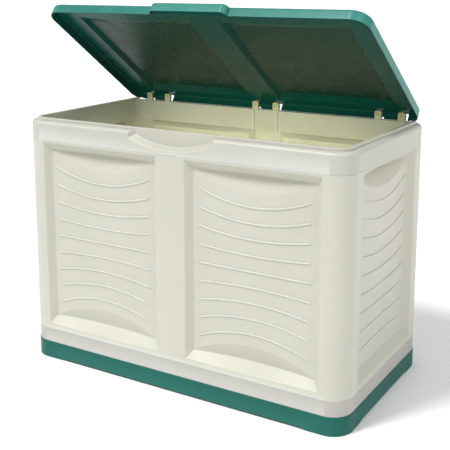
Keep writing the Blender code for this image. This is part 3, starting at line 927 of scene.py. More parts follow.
@dataclass(frozen=True)
class Wall:
    """One moulded wall with sunk panels, crescents and bowed ribs."""

    side: Side
    sizes: Sizes
    panel_top: float = 0.647
    panel_bottom: float = 0.108
    panel_depth: float = 0.018
    bevel_rise: float = 0.023
    bevel_run: float = 0.017
    arc_drop: float = 0.045
    scoop: float = 0.014
    grip_scoop: float = 0.024
    stile: float = 0.044
    long_panel_end: float = 0.4315
    side_panel_end: float = 0.183
    softness: float = 0.13
    panel_columns: int = 44
    rib_pitch: float = 0.050
    rib_bow: float = 0.033
    side_rib_bow: float = 0.0195
    side_rib_sag: float = 0.0135
    rib_width: float = 0.0058
    rib_height: float = 0.0026
    rib_inset: float = 0.018
    rib_shift: float = -0.0025
    low_row: float = 0.004
    pocket_room: float = 0.014
    corner_steps: int = 14
    tab_half: float = 0.009
    tab_root: float = 0.007

    @property
    def name(self) -> str:
        """Returns the wall's name."""
        return self.side.name.lower() + "_wall"

    @property
    def flat_end(self) -> float:
        """Returns how far the wall's flat part reaches from its middle."""
        reach = self.sizes.width if self.side.is_long else self.sizes.depth
        return reach / 2 - self.sizes.corner

    @property
    def panels(self) -> tuple[tuple[float, float], ...]:
        """Returns each panel's centre and half width."""
        if not self.side.is_long:
            return ((0.0, self.side_panel_end),)
        centre = (self.stile + self.long_panel_end) / 2
        half = (self.long_panel_end - self.stile) / 2
        return ((-centre, half), (centre, half))

    def place(self, along: float, depth: float, height: float) -> Point:
        """Turns a place on the wall into a point.

        Args:
            along: Distance from the wall's middle, round the corner too.
            depth: Distance in from the wall's outer face.
            height: Height above the ground.

        Returns:
            The point.
        """
        sign, corner = self.side.sign, self.sizes.corner
        if not self.side.is_long:
            return (sign * (self.sizes.width / 2 - depth), along, height)
        half = self.sizes.depth / 2
        if abs(along) <= self.flat_end:
            return (along, sign * (half - depth), height)
        turn = (abs(along) - self.flat_end) / corner
        radius = corner - depth
        x = math.copysign(self.flat_end + radius * math.sin(turn), along)
        return (x, sign * (half - corner + radius * math.cos(turn)), height)

    def stations(self) -> list[float]:
        """Returns the places along the wall at which its section is drawn."""
        soft, run = self.softness, self.bevel_run
        ramp = [-soft, -0.6 * soft, -0.2 * soft, 0.2 * soft, 0.6 * soft, soft, 0.5]
        ramp += [1.0 - share for share in ramp[:6]]
        marks: set[float] = {-self.flat_end, self.flat_end}
        for centre, half in self.panels:
            inner = half - run * (1.0 + soft)
            for side in (-1, 1):
                marks.update(centre + side * (half - run * share) for share in ramp)
            for i in range(self.panel_columns + 1):
                marks.add(centre + inner * (2 * i / self.panel_columns - 1))
        if self.side.is_long:
            arc = self.sizes.corner * math.pi / 2
            for i in range(1, self.corner_steps + 1):
                reach = self.flat_end + arc * i / self.corner_steps
                marks.update((-reach, reach))
            if self.side is Side.FRONT:
                clear = self.sizes.pocket_half + self.pocket_room
                for side in (-1, 1):
                    marks.update((side * (clear - GAP), side * (clear + GAP)))
        else:
            marks -= {-self.flat_end, self.flat_end}
            marks.update((-self.flat_end + GAP, self.flat_end - GAP))
        ordered = sorted(marks)
        return [a for a, b in zip(ordered, ordered[1:]) if b - a > 1e-5] + [ordered[-1]]

    def face_rows(self, along: float, offset: float) -> list[Flat]:
        """Draws one face of the wall's section through a panel, from the bottom up.

        Args:
            along: The section's place along the wall.
            offset: 0 for the outer face, and the wall's thickness for the inner.

        Returns:
            Six corners as (depth, height).
        """
        shift = 0.42 * offset
        centre, half = min(self.panels, key=lambda panel: abs(along - panel[0]))
        away = abs(along - centre)
        ramp = eased((half + shift - away) / self.bevel_run, self.softness)
        share = away / (half - self.bevel_run)
        hump = max(0.0, 1.0 - share * share)
        top_scoop = self.scoop if self.side.is_long else self.grip_scoop
        low_hump = hump if self.side.is_long else 0.0
        top, bottom = self.panel_top + shift, self.panel_bottom - shift
        high, low = top - self.bevel_rise * ramp, bottom + self.bevel_rise * ramp
        floor = offset + self.panel_depth * ramp
        return [
            (offset, bottom),
            (floor + self.scoop * low_hump, low),
            (floor, low + max(self.arc_drop * low_hump, self.low_row)),
            (floor, high - self.arc_drop * hump),
            (floor + top_scoop * hump, high),
            (offset, top),
        ]

    def section(self, along: float) -> list[Point]:
        """Draws the wall's whole section, tongues included.

        Args:
            along: The section's place along the wall.

        Returns:
            The section's points.
        """
        sizes = self.sizes
        tongue = sizes.skin + GAP
        clear = sizes.pocket_half + self.pocket_room
        cut = self.side is Side.FRONT and abs(along) < clear
        crown = sizes.wall_top + (2 * GAP if cut else sizes.tongue)
        foot = sizes.lower_top - sizes.tongue - GAP
        outer = self.face_rows(along, 0.0)
        inner = self.face_rows(along, sizes.wall)
        points = [(0.0, sizes.lower_top), *outer, (0.0, sizes.wall_top), (tongue, sizes.wall_top)]
        radii = [0.0006, 0.0016, 0.0030, 0.0018, 0.0018, 0.0030, 0.0016, 0.0008, 0.0]
        points += [(tongue, crown), (sizes.wall, crown), *reversed(inner), (sizes.wall, foot), (tongue, foot)]
        radii += [0.0, 0.0, 0.002, 0.003, 0.002, 0.002, 0.003, 0.002, 0.0, 0.0]
        points.append((tongue, sizes.lower_top))
        radii.append(0.0)
        return [self.place(along, depth, height) for depth, height in rounded(points, radii)]

    def tabs(self, shell: Shell) -> None:
        """Adds the shelves inside the wall that its frame screws pass through.

        Args:
            shell: The wall's faces.
        """
        low, high = self.sizes.wall_top - self.sizes.shelf, self.sizes.wall_top - GAP
        sign, half = self.side.sign, self.tab_half
        for x, y in FrameScrews.sites(self.sizes, self.side):
            if self.side.is_long:
                ys = sorted((y - sign * self.tab_root, y + sign * half))
                shell.block((x - half, ys[0], low), (x + half, ys[1], high))
            else:
                xs = sorted((x - sign * self.tab_root, x + sign * half))
                shell.block((xs[0], y - half, low), (xs[1], y + half, high))

    def build(self, dress: Dress, ribs: Tree) -> None:
        """Builds the wall and its ribs, and lets them ride on the box.

        Args:
            dress: The wall's finish.
            ribs: The tree that lays the ribs.
        """
        shell = Shell()
        shell.loft([self.section(along) for along in self.stations()])
        self.tabs(shell)
        dress.put_on(smooth(shell.piece(self.name + "_moulding")), self.name)
        half = self.panels[0][1] - self.bevel_run - self.rib_inset
        values = {
            "Half Length": half,
            "Pitch": self.rib_pitch,
            "Bow": self.rib_bow if self.side.is_long else self.side_rib_bow,
            "Sag": 0.0 if self.side.is_long else self.side_rib_sag,
            "Rib Width": self.rib_width,
            "Rib Height": self.rib_height,
        }
        sites = [(centre, 0.0, 0.0) for centre, _ in self.panels]
        beads = ribs.run(self.name + "_ribs", sites, dress.material, values)
        rise = (self.panel_top + self.panel_bottom) / 2 + self.rib_shift
        out = Vector((0.0, self.side.sign, 0.0) if self.side.is_long else (self.side.sign, 0.0, 0.0))
        across = Vector((0.0, 0.0, 1.0)).cross(out)
        turn = Matrix((across, (0.0, 0.0, 1.0), out)).transposed().to_4x4()
        reach = (self.sizes.depth if self.side.is_long else self.sizes.width) / 2 - self.panel_depth
        turn.translation = out * reach + Vector((0.0, 0.0, rise))
        beads.data.transform(turn)
        dress.put_on(beads)


# --- base and frames -------------------------------------------------------------------------


def body_loop(sizes: Sizes, inset: float, height: float, steps: int = 14) -> list[Point]:
    """Lays out the box's plan outline at one height.

    Args:
        sizes: The shared sizes.
        inset: How far the outline is moved in.
        height: The height.
        steps: Segments in one corner.

    Returns:
        The outline's points.
    """
    low = (-sizes.width / 2 + inset, -sizes.depth / 2 + inset)
    plan = rounded_rectangle(low, (-low[0], -low[1]), sizes.corner - inset, steps)
    return [(x, y, height) for x, y in plan]


def swept_ring(sizes: Sizes, profile: Sequence[Flat], radii: Sequence[float]) -> Shell:
    """Sweeps a rounded profile round the box.

    Args:
        sizes: The shared sizes.
        profile: The profile's corners as (inset, height).
        radii: The rounding of each corner.

    Returns:
        The closed ring.
    """
    shell = Shell()
    shell.loft([body_loop(sizes, inset, height) for inset, height in rounded(profile, radii)], ring=True)
    return shell


@dataclass(frozen=True)
class Plinth:
    """The base tray: a skirt with a proud top corner, a floor, underside ribs and feet."""

    sizes: Sizes
    proud: float = 0.002
    skirt: float = 0.0035
    floor: float = 0.005
    foot_low: Flat = (0.43, 0.20)
    foot_high: Flat = (0.478, 0.248)
    foot_corner: float = 0.006
    lift_long: float = 0.405
    lift_short: float = 0.175
    lift_run: float = 0.026
    lift_rise: float = 0.006
    lift_cut: float = 0.012
    rib_half: float = 0.0015
    rib_low: float = 0.012
    rib_sites: tuple[float, ...] = (-0.25, 0.0, 0.25)

    def build(self, dress: Dress) -> None:
        """Builds the tray and lets it ride on the box.

        Args:
            dress: The finish, and the body that carries the piece.
        """
        sizes, top = self.sizes, self.sizes.plinth_top
        tongue_top = top + sizes.tongue + 0.0005
        inner = self.skirt - self.proud
        stack = [
            (sizes.wall + 0.002, top - 0.002),
            (sizes.wall, top),
            (sizes.wall, tongue_top),
            (sizes.skin + GAP, tongue_top),
            (sizes.skin + GAP, top),
            (0.0, top),
            (-0.0012, top - 0.0004),
            (-0.0018, top - 0.0011),
            (-self.proud, top - 0.0022),
            (-self.proud, 0.0012),
            (-self.proud + 0.0006, 0.0),
            (inner - 0.0004, 0.0),
            (inner, 0.0008),
            (inner, top - 0.010),
            (inner + 0.004, top - self.floor - 0.001),
        ]
        shell = Shell()
        shell.loft([body_loop(sizes, inset, height) for inset, height in stack])
        tray = shell.piece("base_tray_moulding")
        cut = Shell()
        self.lifts(cut)
        combine(tray, cut, "DIFFERENCE")
        dress.put_on(smooth(tray), "base_tray")
        under = Shell()
        self.underside(under)
        dress.put_on(smooth(under.piece("base_tray_underside_ribs")))

    def lifts(self, cut: Shell) -> None:
        """Adds the cutters that lift the skirt between its feet.

        Args:
            cut: What the cutters are added to.
        """
        steps = 8
        for along_x, reach in ((True, self.lift_long), (False, self.lift_short)):
            half = (self.sizes.depth if along_x else self.sizes.width) / 2
            outline = [(-reach, -0.001)]
            for i in range(steps + 1):
                share = i / steps
                outline.append((-reach + self.lift_run * share, self.lift_rise * eased(share, 0.4)))
            outline += [(-a, z) for a, z in reversed(outline)]
            for side in (-1, 1):
                across = (side * (half - self.lift_cut), side * (half + self.lift_cut))
                if along_x:
                    cut.loft([[(a, value, z) for a, z in outline] for value in across])
                else:
                    cut.loft([[(value, a, z) for a, z in outline] for value in across])

    def underside(self, shell: Shell) -> None:
        """Adds the stiffening ribs under the floor, and the feet with their webs.

        Args:
            shell: What they are added to.
        """
        half_x, half_y = self.sizes.width / 2 - 0.001, self.sizes.depth / 2 - 0.001
        under, low, half = self.sizes.plinth_top - self.floor + 0.0005, self.rib_low, self.rib_half
        shell.block((-half_x, -half, low), (half_x, half, under))
        for x in self.rib_sites:
            shell.block((x - half, -half_y, low), (x + half, half_y, under))
        for sx in (-1, 1):
            for sy in (-1, 1):
                self.foot(shell, sx, sy)
                web_x, web_y = sorted((sx * 0.455, sx * 0.459)), sorted((sy * 0.228, sy * 0.232))
                reach_y = sorted((sy * self.foot_low[1], sy * (half_y - 0.0005)))
                reach_x = sorted((sx * self.foot_low[0], sx * (half_x - 0.0005)))
                shell.block((web_x[0], reach_y[0], 0.002), (web_x[1], reach_y[1], under))
                shell.block((reach_x[0], web_y[0], 0.002), (reach_x[1], web_y[1], under))

    def foot(self, shell: Shell, sx: int, sy: int) -> None:
        """Adds one foot plate.

        Args:
            shell: What the plate is added to.
            sx: -1 for a foot at the left and 1 for one at the right.
            sy: -1 for a foot at the front and 1 for one at the back.
        """
        xs = sorted((sx * self.foot_low[0], sx * self.foot_high[0]))
        ys = sorted((sy * self.foot_low[1], sy * self.foot_high[1]))
        plan = rounded_rectangle((xs[0], ys[0]), (xs[1], ys[1]), self.foot_corner, 4)
        mid_x, mid_y, half = sum(xs) / 2, sum(ys) / 2, (xs[1] - xs[0]) / 2
        loops = []
        for inset, z in ((0.0008, 0.0), (0.0, 0.0008), (0.0, 0.004)):
            grow = (half - inset) / half
            loops.append([(mid_x + (x - mid_x) * grow, mid_y + (y - mid_y) * grow, z) for x, y in plan])
        shell.loft(loops)


@dataclass(frozen=True)
class LowerFrame:
    """The H-section ring between the base tray and the walls."""

    sizes: Sizes
    web_low: float = 0.0700
    web_high: float = 0.0730
    leaf: float = 0.010
    back: float = 0.0125
    boss_radius: float = 0.0045
    boss_top: float = 0.0715

    def build(self, dress: Dress) -> None:
        """Builds the ring with its screw bosses and lets it ride on the box.

        Args:
            dress: The finish, and the body that carries the piece.
        """
        sizes = self.sizes
        low, high = sizes.plinth_top + GAP, sizes.lower_top - GAP
        web_low, web_high, leaf, back = self.web_low, self.web_high, self.leaf, self.back
        profile = [(0.0, low), (0.0, high), (sizes.skin, high), (sizes.skin, web_high)]
        profile += [(leaf, web_high), (leaf, high), (back, high), (back, low)]
        profile += [(leaf, low), (leaf, web_low), (sizes.skin, web_low), (sizes.skin, low)]
        radii = [0.0006, 0.0009, 0.0004, 0.0, 0.0, 0.0005, 0.0009, 0.0005, 0.0005, 0.0, 0.0, 0.0]
        shell = swept_ring(sizes, profile, radii)
        for x, y in BaseScrews.sites(sizes):
            loops = []
            sides, wide = 20, self.boss_radius
            turns = [2 * math.pi * i / sides for i in range(sides)]
            for radius, z in ((wide - 0.0002, low - 0.002), (wide, low), (wide, self.boss_top)):
                loops.append([(x + radius * math.cos(t), y + radius * math.sin(t), z) for t in turns])
            shell.loft(loops)
        dress.put_on(smooth(shell.piece("lower_frame_ring")), "lower_frame")


@dataclass(frozen=True)
class TopFrame:
    """The rim: a channel with a weather lip, a finger pocket and hinge lugs."""

    sizes: Sizes
    lug_deep: float = 0.0055
    lug_corner: float = 0.0065
    window_half: float = 0.0035
    window_deep: float = 0.0025
    leaf_rib_sites: tuple[float, ...] = (-0.040, 0.040)
    leaf_rib_half: float = 0.0025
    leaf_rib_deep: float = 0.0035
    leaf_rib_top: float = 0.703
    lip_end: float = 0.236
    pocket_deep: float = 0.0165
    pocket_end: float = 0.6853
    pocket_drop: float = 0.0240

    def build(self, dress: Dress) -> None:
        """Builds the rim and lets it ride on the box.

        Args:
            dress: The finish, and the body that carries the piece.
        """
        sizes = self.sizes
        shoulder = sizes.ledge - 0.006
        low, leaf = sizes.wall_top + GAP, sizes.lip_inner - 0.0035
        profile = [
            (0.0, low),
            (0.0, shoulder),
            (0.006, sizes.ledge),
            (sizes.lip_outer, sizes.ledge),
            (sizes.lip_outer, sizes.lip_top),
            (sizes.lip_inner, sizes.lip_top),
            (sizes.lip_inner, sizes.wall_top - 0.010),
            (leaf, sizes.wall_top - 0.010),
            (leaf, sizes.ledge - 0.0035),
            (0.0065, sizes.ledge - 0.0035),
            (sizes.skin, shoulder - 0.0015),
            (sizes.skin, low),
        ]
        radii = [0.0007, 0.0040, 0.0030, 0.0010, 0.0018, 0.0018, 0.0009, 0.0006, 0.0, 0.0, 0.0, 0.0]
        rim = swept_ring(sizes, profile, radii).piece("top_frame_rim")
        added = Shell()
        half, back = sizes.pocket_half + 0.010, sizes.lip_inner - 0.002
        block = [(0.0015, low + 0.0025), (0.0015, shoulder), (0.0060, sizes.ledge - 0.0015)]
        block += [(back, sizes.ledge - 0.0015), (back, low + 0.0025)]
        front = -sizes.depth / 2
        added.loft([[(x, front + inset, z) for inset, z in block] for x in (-half, half)])
        face = sizes.depth / 2 - sizes.lip_inner
        for x in self.leaf_rib_sites:
            corner = (x - self.leaf_rib_half, face - self.leaf_rib_deep, sizes.wall_top - 0.0095)
            added.block(corner, (x + self.leaf_rib_half, face + 0.001, self.leaf_rib_top))
        combine(rim, added, "UNION")
        cut = Shell()
        behind, above = sizes.depth / 2 + 0.01, sizes.lip_top + 0.01
        cut.block((-sizes.width, self.lip_end, sizes.ledge), (sizes.width, behind, above))
        combine(rim, cut, "DIFFERENCE")
        pocket = Shell()
        pocket.loft(self.pocket_loops())
        combine(rim, pocket, "DIFFERENCE")
        dress.put_on(smooth(rim, 30.0), "top_frame")

    def pocket_loops(self) -> list[list[Point]]:
        """Returns the outlines of the sloped finger pocket, from its mouth to its back."""
        sizes = self.sizes
        steps, mouth = 40, 0.0010
        lips = ((-mouth, 0.0030), (0.0, 0.0012), (0.0006, 0.0004), (0.0016, 0.0), (self.pocket_deep, 0.0))
        loops = []
        for depth, flare in lips:
            share = (depth + mouth) / (self.pocket_deep + mouth)
            half = sizes.pocket_half + 0.001 - 0.0155 * share + flare
            end = self.pocket_end + 0.0117 * share
            drop = self.pocket_drop - 0.0010 * share
            y = -sizes.depth / 2 + depth
            loop = [(half, y, sizes.lip_top + 0.006), (-half, y, sizes.lip_top + 0.006)]
            for i in range(steps + 1):
                across = 2 * i / steps - 1
                loop.append((across * half, y, end - flare - drop * (1 - across * across)))
            loops.append(loop)
        return loops

    def build_lugs(self, dress: Dress) -> None:
        """Builds the pairs of hinge lugs, each with a cored window, solid where the pin goes through.

        Args:
            dress: The finish, and the body that carries the piece.
        """
        half = self.sizes.lug_half
        hinge_y, hinge_z = self.sizes.hinge[1], self.sizes.hinge[2]
        low, top = self.sizes.ledge - 0.0015, hinge_z + 0.012
        front = hinge_y - self.lug_deep
        shell, windows = Shell(), Shell()
        offset = self.sizes.lug_offset
        for x in (middle + side * offset for middle in self.sizes.pin_sites for side in (-1, 1)):
            corners = [(x - half, low), (x + half, low), (x + half, top), (x - half, top)]
            outline = rounded(corners, [0.0, 0.0, self.lug_corner, self.lug_corner], 6)
            loops = []
            for away, inset in ((-1.0, 0.0008), (-0.88, 0.0), (0.88, 0.0), (1.0, 0.0008)):
                y = hinge_y + away * self.lug_deep
                grow, sink = 1.0 - inset / half, 1 - inset / 0.025
                loops.append([(x + (a - x) * grow, y, low + (z - low) * sink) for a, z in outline])
            shell.loft(loops)
            corner = (x - self.window_half, front - 0.002, hinge_z + 0.0005)
            windows.block(corner, (x + self.window_half, front + self.window_deep, hinge_z + 0.0075))
        lugs = shell.piece("hinge_lugs")
        combine(lugs, windows, "DIFFERENCE")
        dress.put_on(smooth(lugs, 30.0))


# --- lid -------------------------------------------------------------------------------------


@dataclass(frozen=True)
class Lid:
    """The lid: a shallow shell with two raised fields, a lift tab and three hinge knuckles."""

    sizes: Sizes
    half_width: float = 0.489
    front: float = -0.266
    back: float = 0.2615
    bottom: float = 0.7065
    rim_top: float = 0.7285
    roof: float = 0.7368
    field_top: float = 0.7480
    thick: float = 0.003
    corner: float = 0.046
    tab_half: float = 0.118
    tab_reach: float = 0.018
    field_inner: float = 0.055
    field_outer: float = 0.412
    field_front: float = -0.168
    field_back: float = 0.208
    field_bow: float = 0.017
    field_grow: float = 0.010
    field_reach: float = 0.036
    knuckle_half: float = 0.0225
    knuckle_radius: float = 0.006
    knuckle_back: float = 0.0085
    tab_corner: float = 0.016
    skirt_end: float = 0.7118

    def loop(self, inset: float, height: float) -> list[Point]:
        """Lays out the lid's plan outline at one height.

        Args:
            inset: How far the outline is moved in.
            height: The height.

        Returns:
            The outline's points.
        """
        low = (-self.half_width + inset, self.front + inset)
        high = (self.half_width - inset, self.back - inset)
        return [(x, y, height) for x, y in rounded_rectangle(low, high, self.corner - inset, 16)]

    def field(self, side: int, grow: float, height: float, ends: float, bow: float) -> list[Point]:
        """Outlines a raised field.

        Args:
            side: -1 for the left field and 1 for the right.
            grow: How far the outline stands out at its sides.
            height: The outline's height.
            ends: How far it stands out at its front and back corners.
            bow: How much less it stands out at the middle of its front and back.

        Returns:
            The outline's points.
        """
        inner, outer = self.field_inner - grow, self.field_outer + grow
        middle, half = (inner + outer) / 2, (outer - inner) / 2
        steps = 28
        points = []
        for front in (True, False):
            for i in range(steps + 1):
                share = (2 * i / steps - 1) * (1 if front else -1)
                edge = ends - bow * (1 - share * share)
                y = self.field_front - edge if front else self.field_back + edge
                points.append((side * (middle + share * half), y, height))
        return points

    def field_loops(self, side: int, low: float, high: float, inset: float) -> list[list[Point]]:
        """Stacks the outlines of one field, with a soft foot and a soft crest.

        Args:
            side: -1 for the left field and 1 for the right.
            low: The height of the field's foot.
            high: The height of its top.
            inset: How far the matching hollow beneath stays inside it.

        Returns:
            The outlines, from the foot up.
        """
        rise = high - low
        foot = ((-0.12, 0.08), (0.0, 0.09), (0.035, 0.035), (0.10, 0.0))
        crest = ((0.90, 0.0), (0.965, -0.035), (1.0, -0.09))
        loops = []
        for share, flare in foot + crest:
            at = min(max(share, 0.0), 1.0)
            grow = self.field_grow * (1 - at + flare) - inset
            ends = self.field_reach * (1 - at + flare) - inset
            loops.append(self.field(side, grow, low + rise * share, ends, self.field_bow * (1 - at)))
        return loops

    def tab_loop(self, inset: float, height: float) -> list[Point]:
        """Lays out the lift tab's plan outline at one height.

        Args:
            inset: How far the outline is moved in.
            height: The height.

        Returns:
            The outline's points.
        """
        half, front = self.tab_half - inset, self.front - self.tab_reach + inset
        radius = self.tab_corner - inset
        points = [(half, self.front + 0.0015, height), (-half, self.front + 0.0015, height)]
        for x, start in ((-half + radius, 180.0), (half - radius, 270.0)):
            for i in range(9):
                turn = math.radians(start + 11.25 * i)
                points.append((x + radius * math.cos(turn), front + radius + radius * math.sin(turn), height))
        return points

    def knuckle(self, middle: float) -> list[list[Point]]:
        """Draws the solid knuckle round the pin, between two lugs.

        Args:
            middle: The knuckle's place along the hinge.

        Returns:
            The outlines of its two ends.
        """
        _, hinge_y, hinge_z = self.sizes.hinge
        radius, under = self.knuckle_radius, self.roof - 0.0015
        outline = [(hinge_y + self.knuckle_back, under), (hinge_y - radius, under)]
        for i in range(17):
            turn = math.radians(180.0 + 11.25 * i)
            outline.append((hinge_y + radius * math.cos(turn), hinge_z + radius * math.sin(turn)))
        outline.append((hinge_y + self.knuckle_back, hinge_z + 0.004))
        ends = (middle - self.knuckle_half, middle + self.knuckle_half)
        return [[(x, y, z) for y, z in outline] for x in ends]

    def build(self, dress: Dress) -> None:
        """Builds the lid closed, opens it to its rest, and lets it ride on its own body.

        Args:
            dress: The finish, and the body that carries the piece.
        """
        rim = self.rim_top
        outer = [(0.0008, self.bottom), (0.0, self.bottom + 0.0008), (0.0, rim), (0.0005, rim + 0.0022)]
        outer += [(0.0016, rim + 0.0044), (0.0034, rim + 0.0063), (0.0056, rim + 0.0076), (0.0085, self.roof)]
        shell = Shell()
        shell.loft([self.loop(inset, z) for inset, z in outer])
        lid = shell.piece("lid_shell")
        added = Shell()
        for side in (-1, 1):
            added.loft(self.field_loops(side, self.roof, self.field_top, 0.0))
        tab = [(0.0008, self.bottom), (0.0, self.bottom + 0.0008), (0.0, rim), (0.0006, rim + 0.0022)]
        tab += [(0.0018, rim + 0.0040), (0.0040, rim + 0.0054)]
        added.loft([self.tab_loop(inset, z) for inset, z in tab])
        combine(lid, added, "UNION")
        self.hollow(lid)
        self.hang(lid)
        self.mark(lid.data)
        hinge = Matrix.Translation(self.sizes.hinge)
        opened = hinge @ Matrix.Rotation(-self.sizes.rest_opening, 4, "X") @ hinge.inverted()
        lid.data.transform(opened)
        dress.put_on(smooth(lid, 30.0), "lid")

    def hollow(self, lid: bpy.types.Object) -> None:
        """Cuts the lid's underside: the ceiling, the backs of the fields and the hollow tab.

        Args:
            lid: The solid lid.
        """
        rim, ceiling, mouth = self.rim_top, self.roof - self.thick, self.thick - 0.0006
        inner = [(mouth, self.bottom - 0.002), (mouth, self.bottom), (self.thick, self.bottom + 0.0008)]
        inner += [(self.thick, rim), (0.0040, rim + 0.0022), (0.0056, rim + 0.0040), (0.009, ceiling)]
        cut = Shell()
        cut.loft([self.loop(inset, z) for inset, z in inner])
        combine(lid, cut, "DIFFERENCE")
        cut = Shell()
        for side in (-1, 1):
            cut.loft(self.field_loops(side, ceiling, self.field_top - self.thick, self.thick))
        loops = [self.tab_loop(self.thick, z) for z in (self.bottom - 0.01, rim + 0.002)]
        cut.loft([[(x, min(y, self.front - 0.0005), z) for x, y, z in loop] for loop in loops])
        combine(lid, cut, "DIFFERENCE")

    def mark(self, mesh: bpy.types.Mesh) -> None:
        """Marks the faces under the lid, and among them the backs of the fields, for painted shade: darker
        tones that stand in for the shade under the lid.

        Args:
            mesh: The closed lid's mesh.
        """
        # These masks lay the painted shade on the faces under the lid and on the backs of the fields.
        underside = mesh.attributes.new("underside", "FLOAT", "FACE").data
        field_back = mesh.attributes.new("field_back", "FLOAT", "FACE").data
        back_height = self.field_top - 1.2 * self.thick
        middle = Vector((0.0, (self.front + self.back) / 2, 0.0))
        for face in mesh.polygons:
            inward = (middle - face.center).to_2d().dot(face.normal.to_2d()) > 0.0
            below = face.normal.z < -0.05 or (abs(face.normal.z) <= 0.05 and inward)
            underside[face.index].value = float(below)
            field_back[face.index].value = float(below and face.center.z > back_height)

    def hang(self, lid: bpy.types.Object) -> None:
        """Adds the knuckles, and cuts the back skirt clear of the lugs and the rim.

        Args:
            lid: The hollowed lid.
        """
        _, hinge_y, hinge_z = self.sizes.hinge
        under, behind = self.bottom - 0.01, self.back + 0.01
        knuckles, cut = Shell(), Shell()
        for middle in self.sizes.pin_sites:
            knuckles.loft(self.knuckle(middle))
            for side in (-1, 1):
                x = middle + side * self.sizes.lug_offset
                low = (x - self.sizes.lug_half - 0.002, hinge_y + 0.002, under)
                cut.block(low, (x + self.sizes.lug_half + 0.005, behind, hinge_z + 0.0135))
        combine(lid, knuckles, "UNION")
        combine(lid, cut, "DIFFERENCE")
        cut = Shell()
        cut.block((-self.sizes.width, hinge_y - 0.0015, under), (self.sizes.width, behind, self.skirt_end))
        combine(lid, cut, "DIFFERENCE")


# --- fixings ---------------------------------------------------------------------------------


@dataclass(frozen=True)
class HingePins:
    """Three headed steel pins, each through two lugs and one knuckle."""

    sizes: Sizes
    reach: float = 0.045

    def build(self, dress: Dress, fasteners: Tree) -> None:
        """Builds the pins and lets them ride on the box.

        Args:
            dress: The finish, and the body that carries the piece.
            fasteners: The tree that makes headed fasteners.
        """
        for side, middle in zip(("left", "centre", "right"), self.sizes.pin_sites):
            values = {
                "Shank Radius": self.sizes.pin_radius,
                "Shank Length": 2 * self.reach + 0.003,
                "Tip Length": 0.001,
                "Head Radius": 0.004,
                "Head Height": 0.002,
                "Recess": 0.0,
            }
            pin = fasteners.run(f"hinge_pin_{side}_steel", [(0.0, 0.0, 0.0)], dress.material, values)
            lie = Matrix.Rotation(math.radians(90.0), 4, "Y")
            place = Vector((middle - self.reach - GAP, self.sizes.hinge[1], self.sizes.hinge[2]))
            pin.data.transform(Matrix.Translation(place) @ lie)
            dress.put_on(smooth(pin), "hinge_pin_" + side)


class BaseScrews:
    """The screws that hold the lower frame to the base tray, from below."""

    @staticmethod
    def sites(sizes: Sizes) -> list[Flat]:
        """Lists the screws' places in plan.

        Args:
            sizes: The shared sizes.

        Returns:
            The places.
        """
        x, y = sizes.width / 2 - 0.016, sizes.depth / 2 - 0.016
        long_sites = [(a, side * y) for side in (-1, 1) for a in (-0.30, 0.30)]
        return long_sites + [(side * x, b) for side in (-1, 1) for b in (-0.12, 0.12)]

    @staticmethod
    def build(sizes: Sizes, dress: Dress, fasteners: Tree) -> None:
        """Builds the screws and lets them ride on the box.

        Args:
            sizes: The shared sizes.
            dress: The finish, and the body that carries the piece.
            fasteners: The tree that makes headed fasteners.
        """
        seat = sizes.plinth_top - 0.006 - GAP
        nodes = [name for name in frame["nodes"] if name.startswith("base_screw_")]
        values = {"Shank Length": 0.0645 - seat, "Recess": 0.0013}
        sites = [(x, y, seat) for x, y in BaseScrews.sites(sizes)]
        screws = fasteners.run("base_screws", sites, dress.material, values)
        dress.put_on(smooth(screws), *sorted(nodes))


class FrameScrews:
    """The screws that hold the walls' tabs to the top frame, from inside."""

    @staticmethod
    def sites(sizes: Sizes, side: Side | None = None) -> list[Flat]:
        """Lists the screws' places in plan.

        Args:
            sizes: The shared sizes.
            side: The wall whose places are wanted, or all the walls if it is left out.

        Returns:
            The places.
        """
        x, y = sizes.width / 2 - 0.0125, sizes.depth / 2 - 0.0125
        places = {
            Side.FRONT: [(-0.44, -y), (0.44, -y)],
            Side.BACK: [(-0.44, y), (0.44, y)],
            Side.LEFT: [(-x, -0.20), (-x, 0.20)],
            Side.RIGHT: [(x, -0.20), (x, 0.20)],
        }
        return places[side] if side else [site for sites in places.values() for site in sites]

    @staticmethod
    def build(sizes: Sizes, dress: Dress, fasteners: Tree) -> None:
        """Builds the screws and lets them ride on the box.

        Args:
            sizes: The shared sizes.
            dress: The finish, and the body that carries the piece.
            fasteners: The tree that makes headed fasteners.
        """
        seat = sizes.wall_top - sizes.shelf - GAP
        nodes = [name for name in frame["nodes"] if name.startswith("frame_screw_")]
        values = {"Shank Length": 0.017, "Recess": 0.0013}
        sites = [(x, y, seat) for x, y in FrameScrews.sites(sizes)]
        screws = fasteners.run("frame_screws", sites, dress.material, values)
        dress.put_on(smooth(screws), *sorted(nodes))


# --- studio ----------------------------------------------------------------------------------


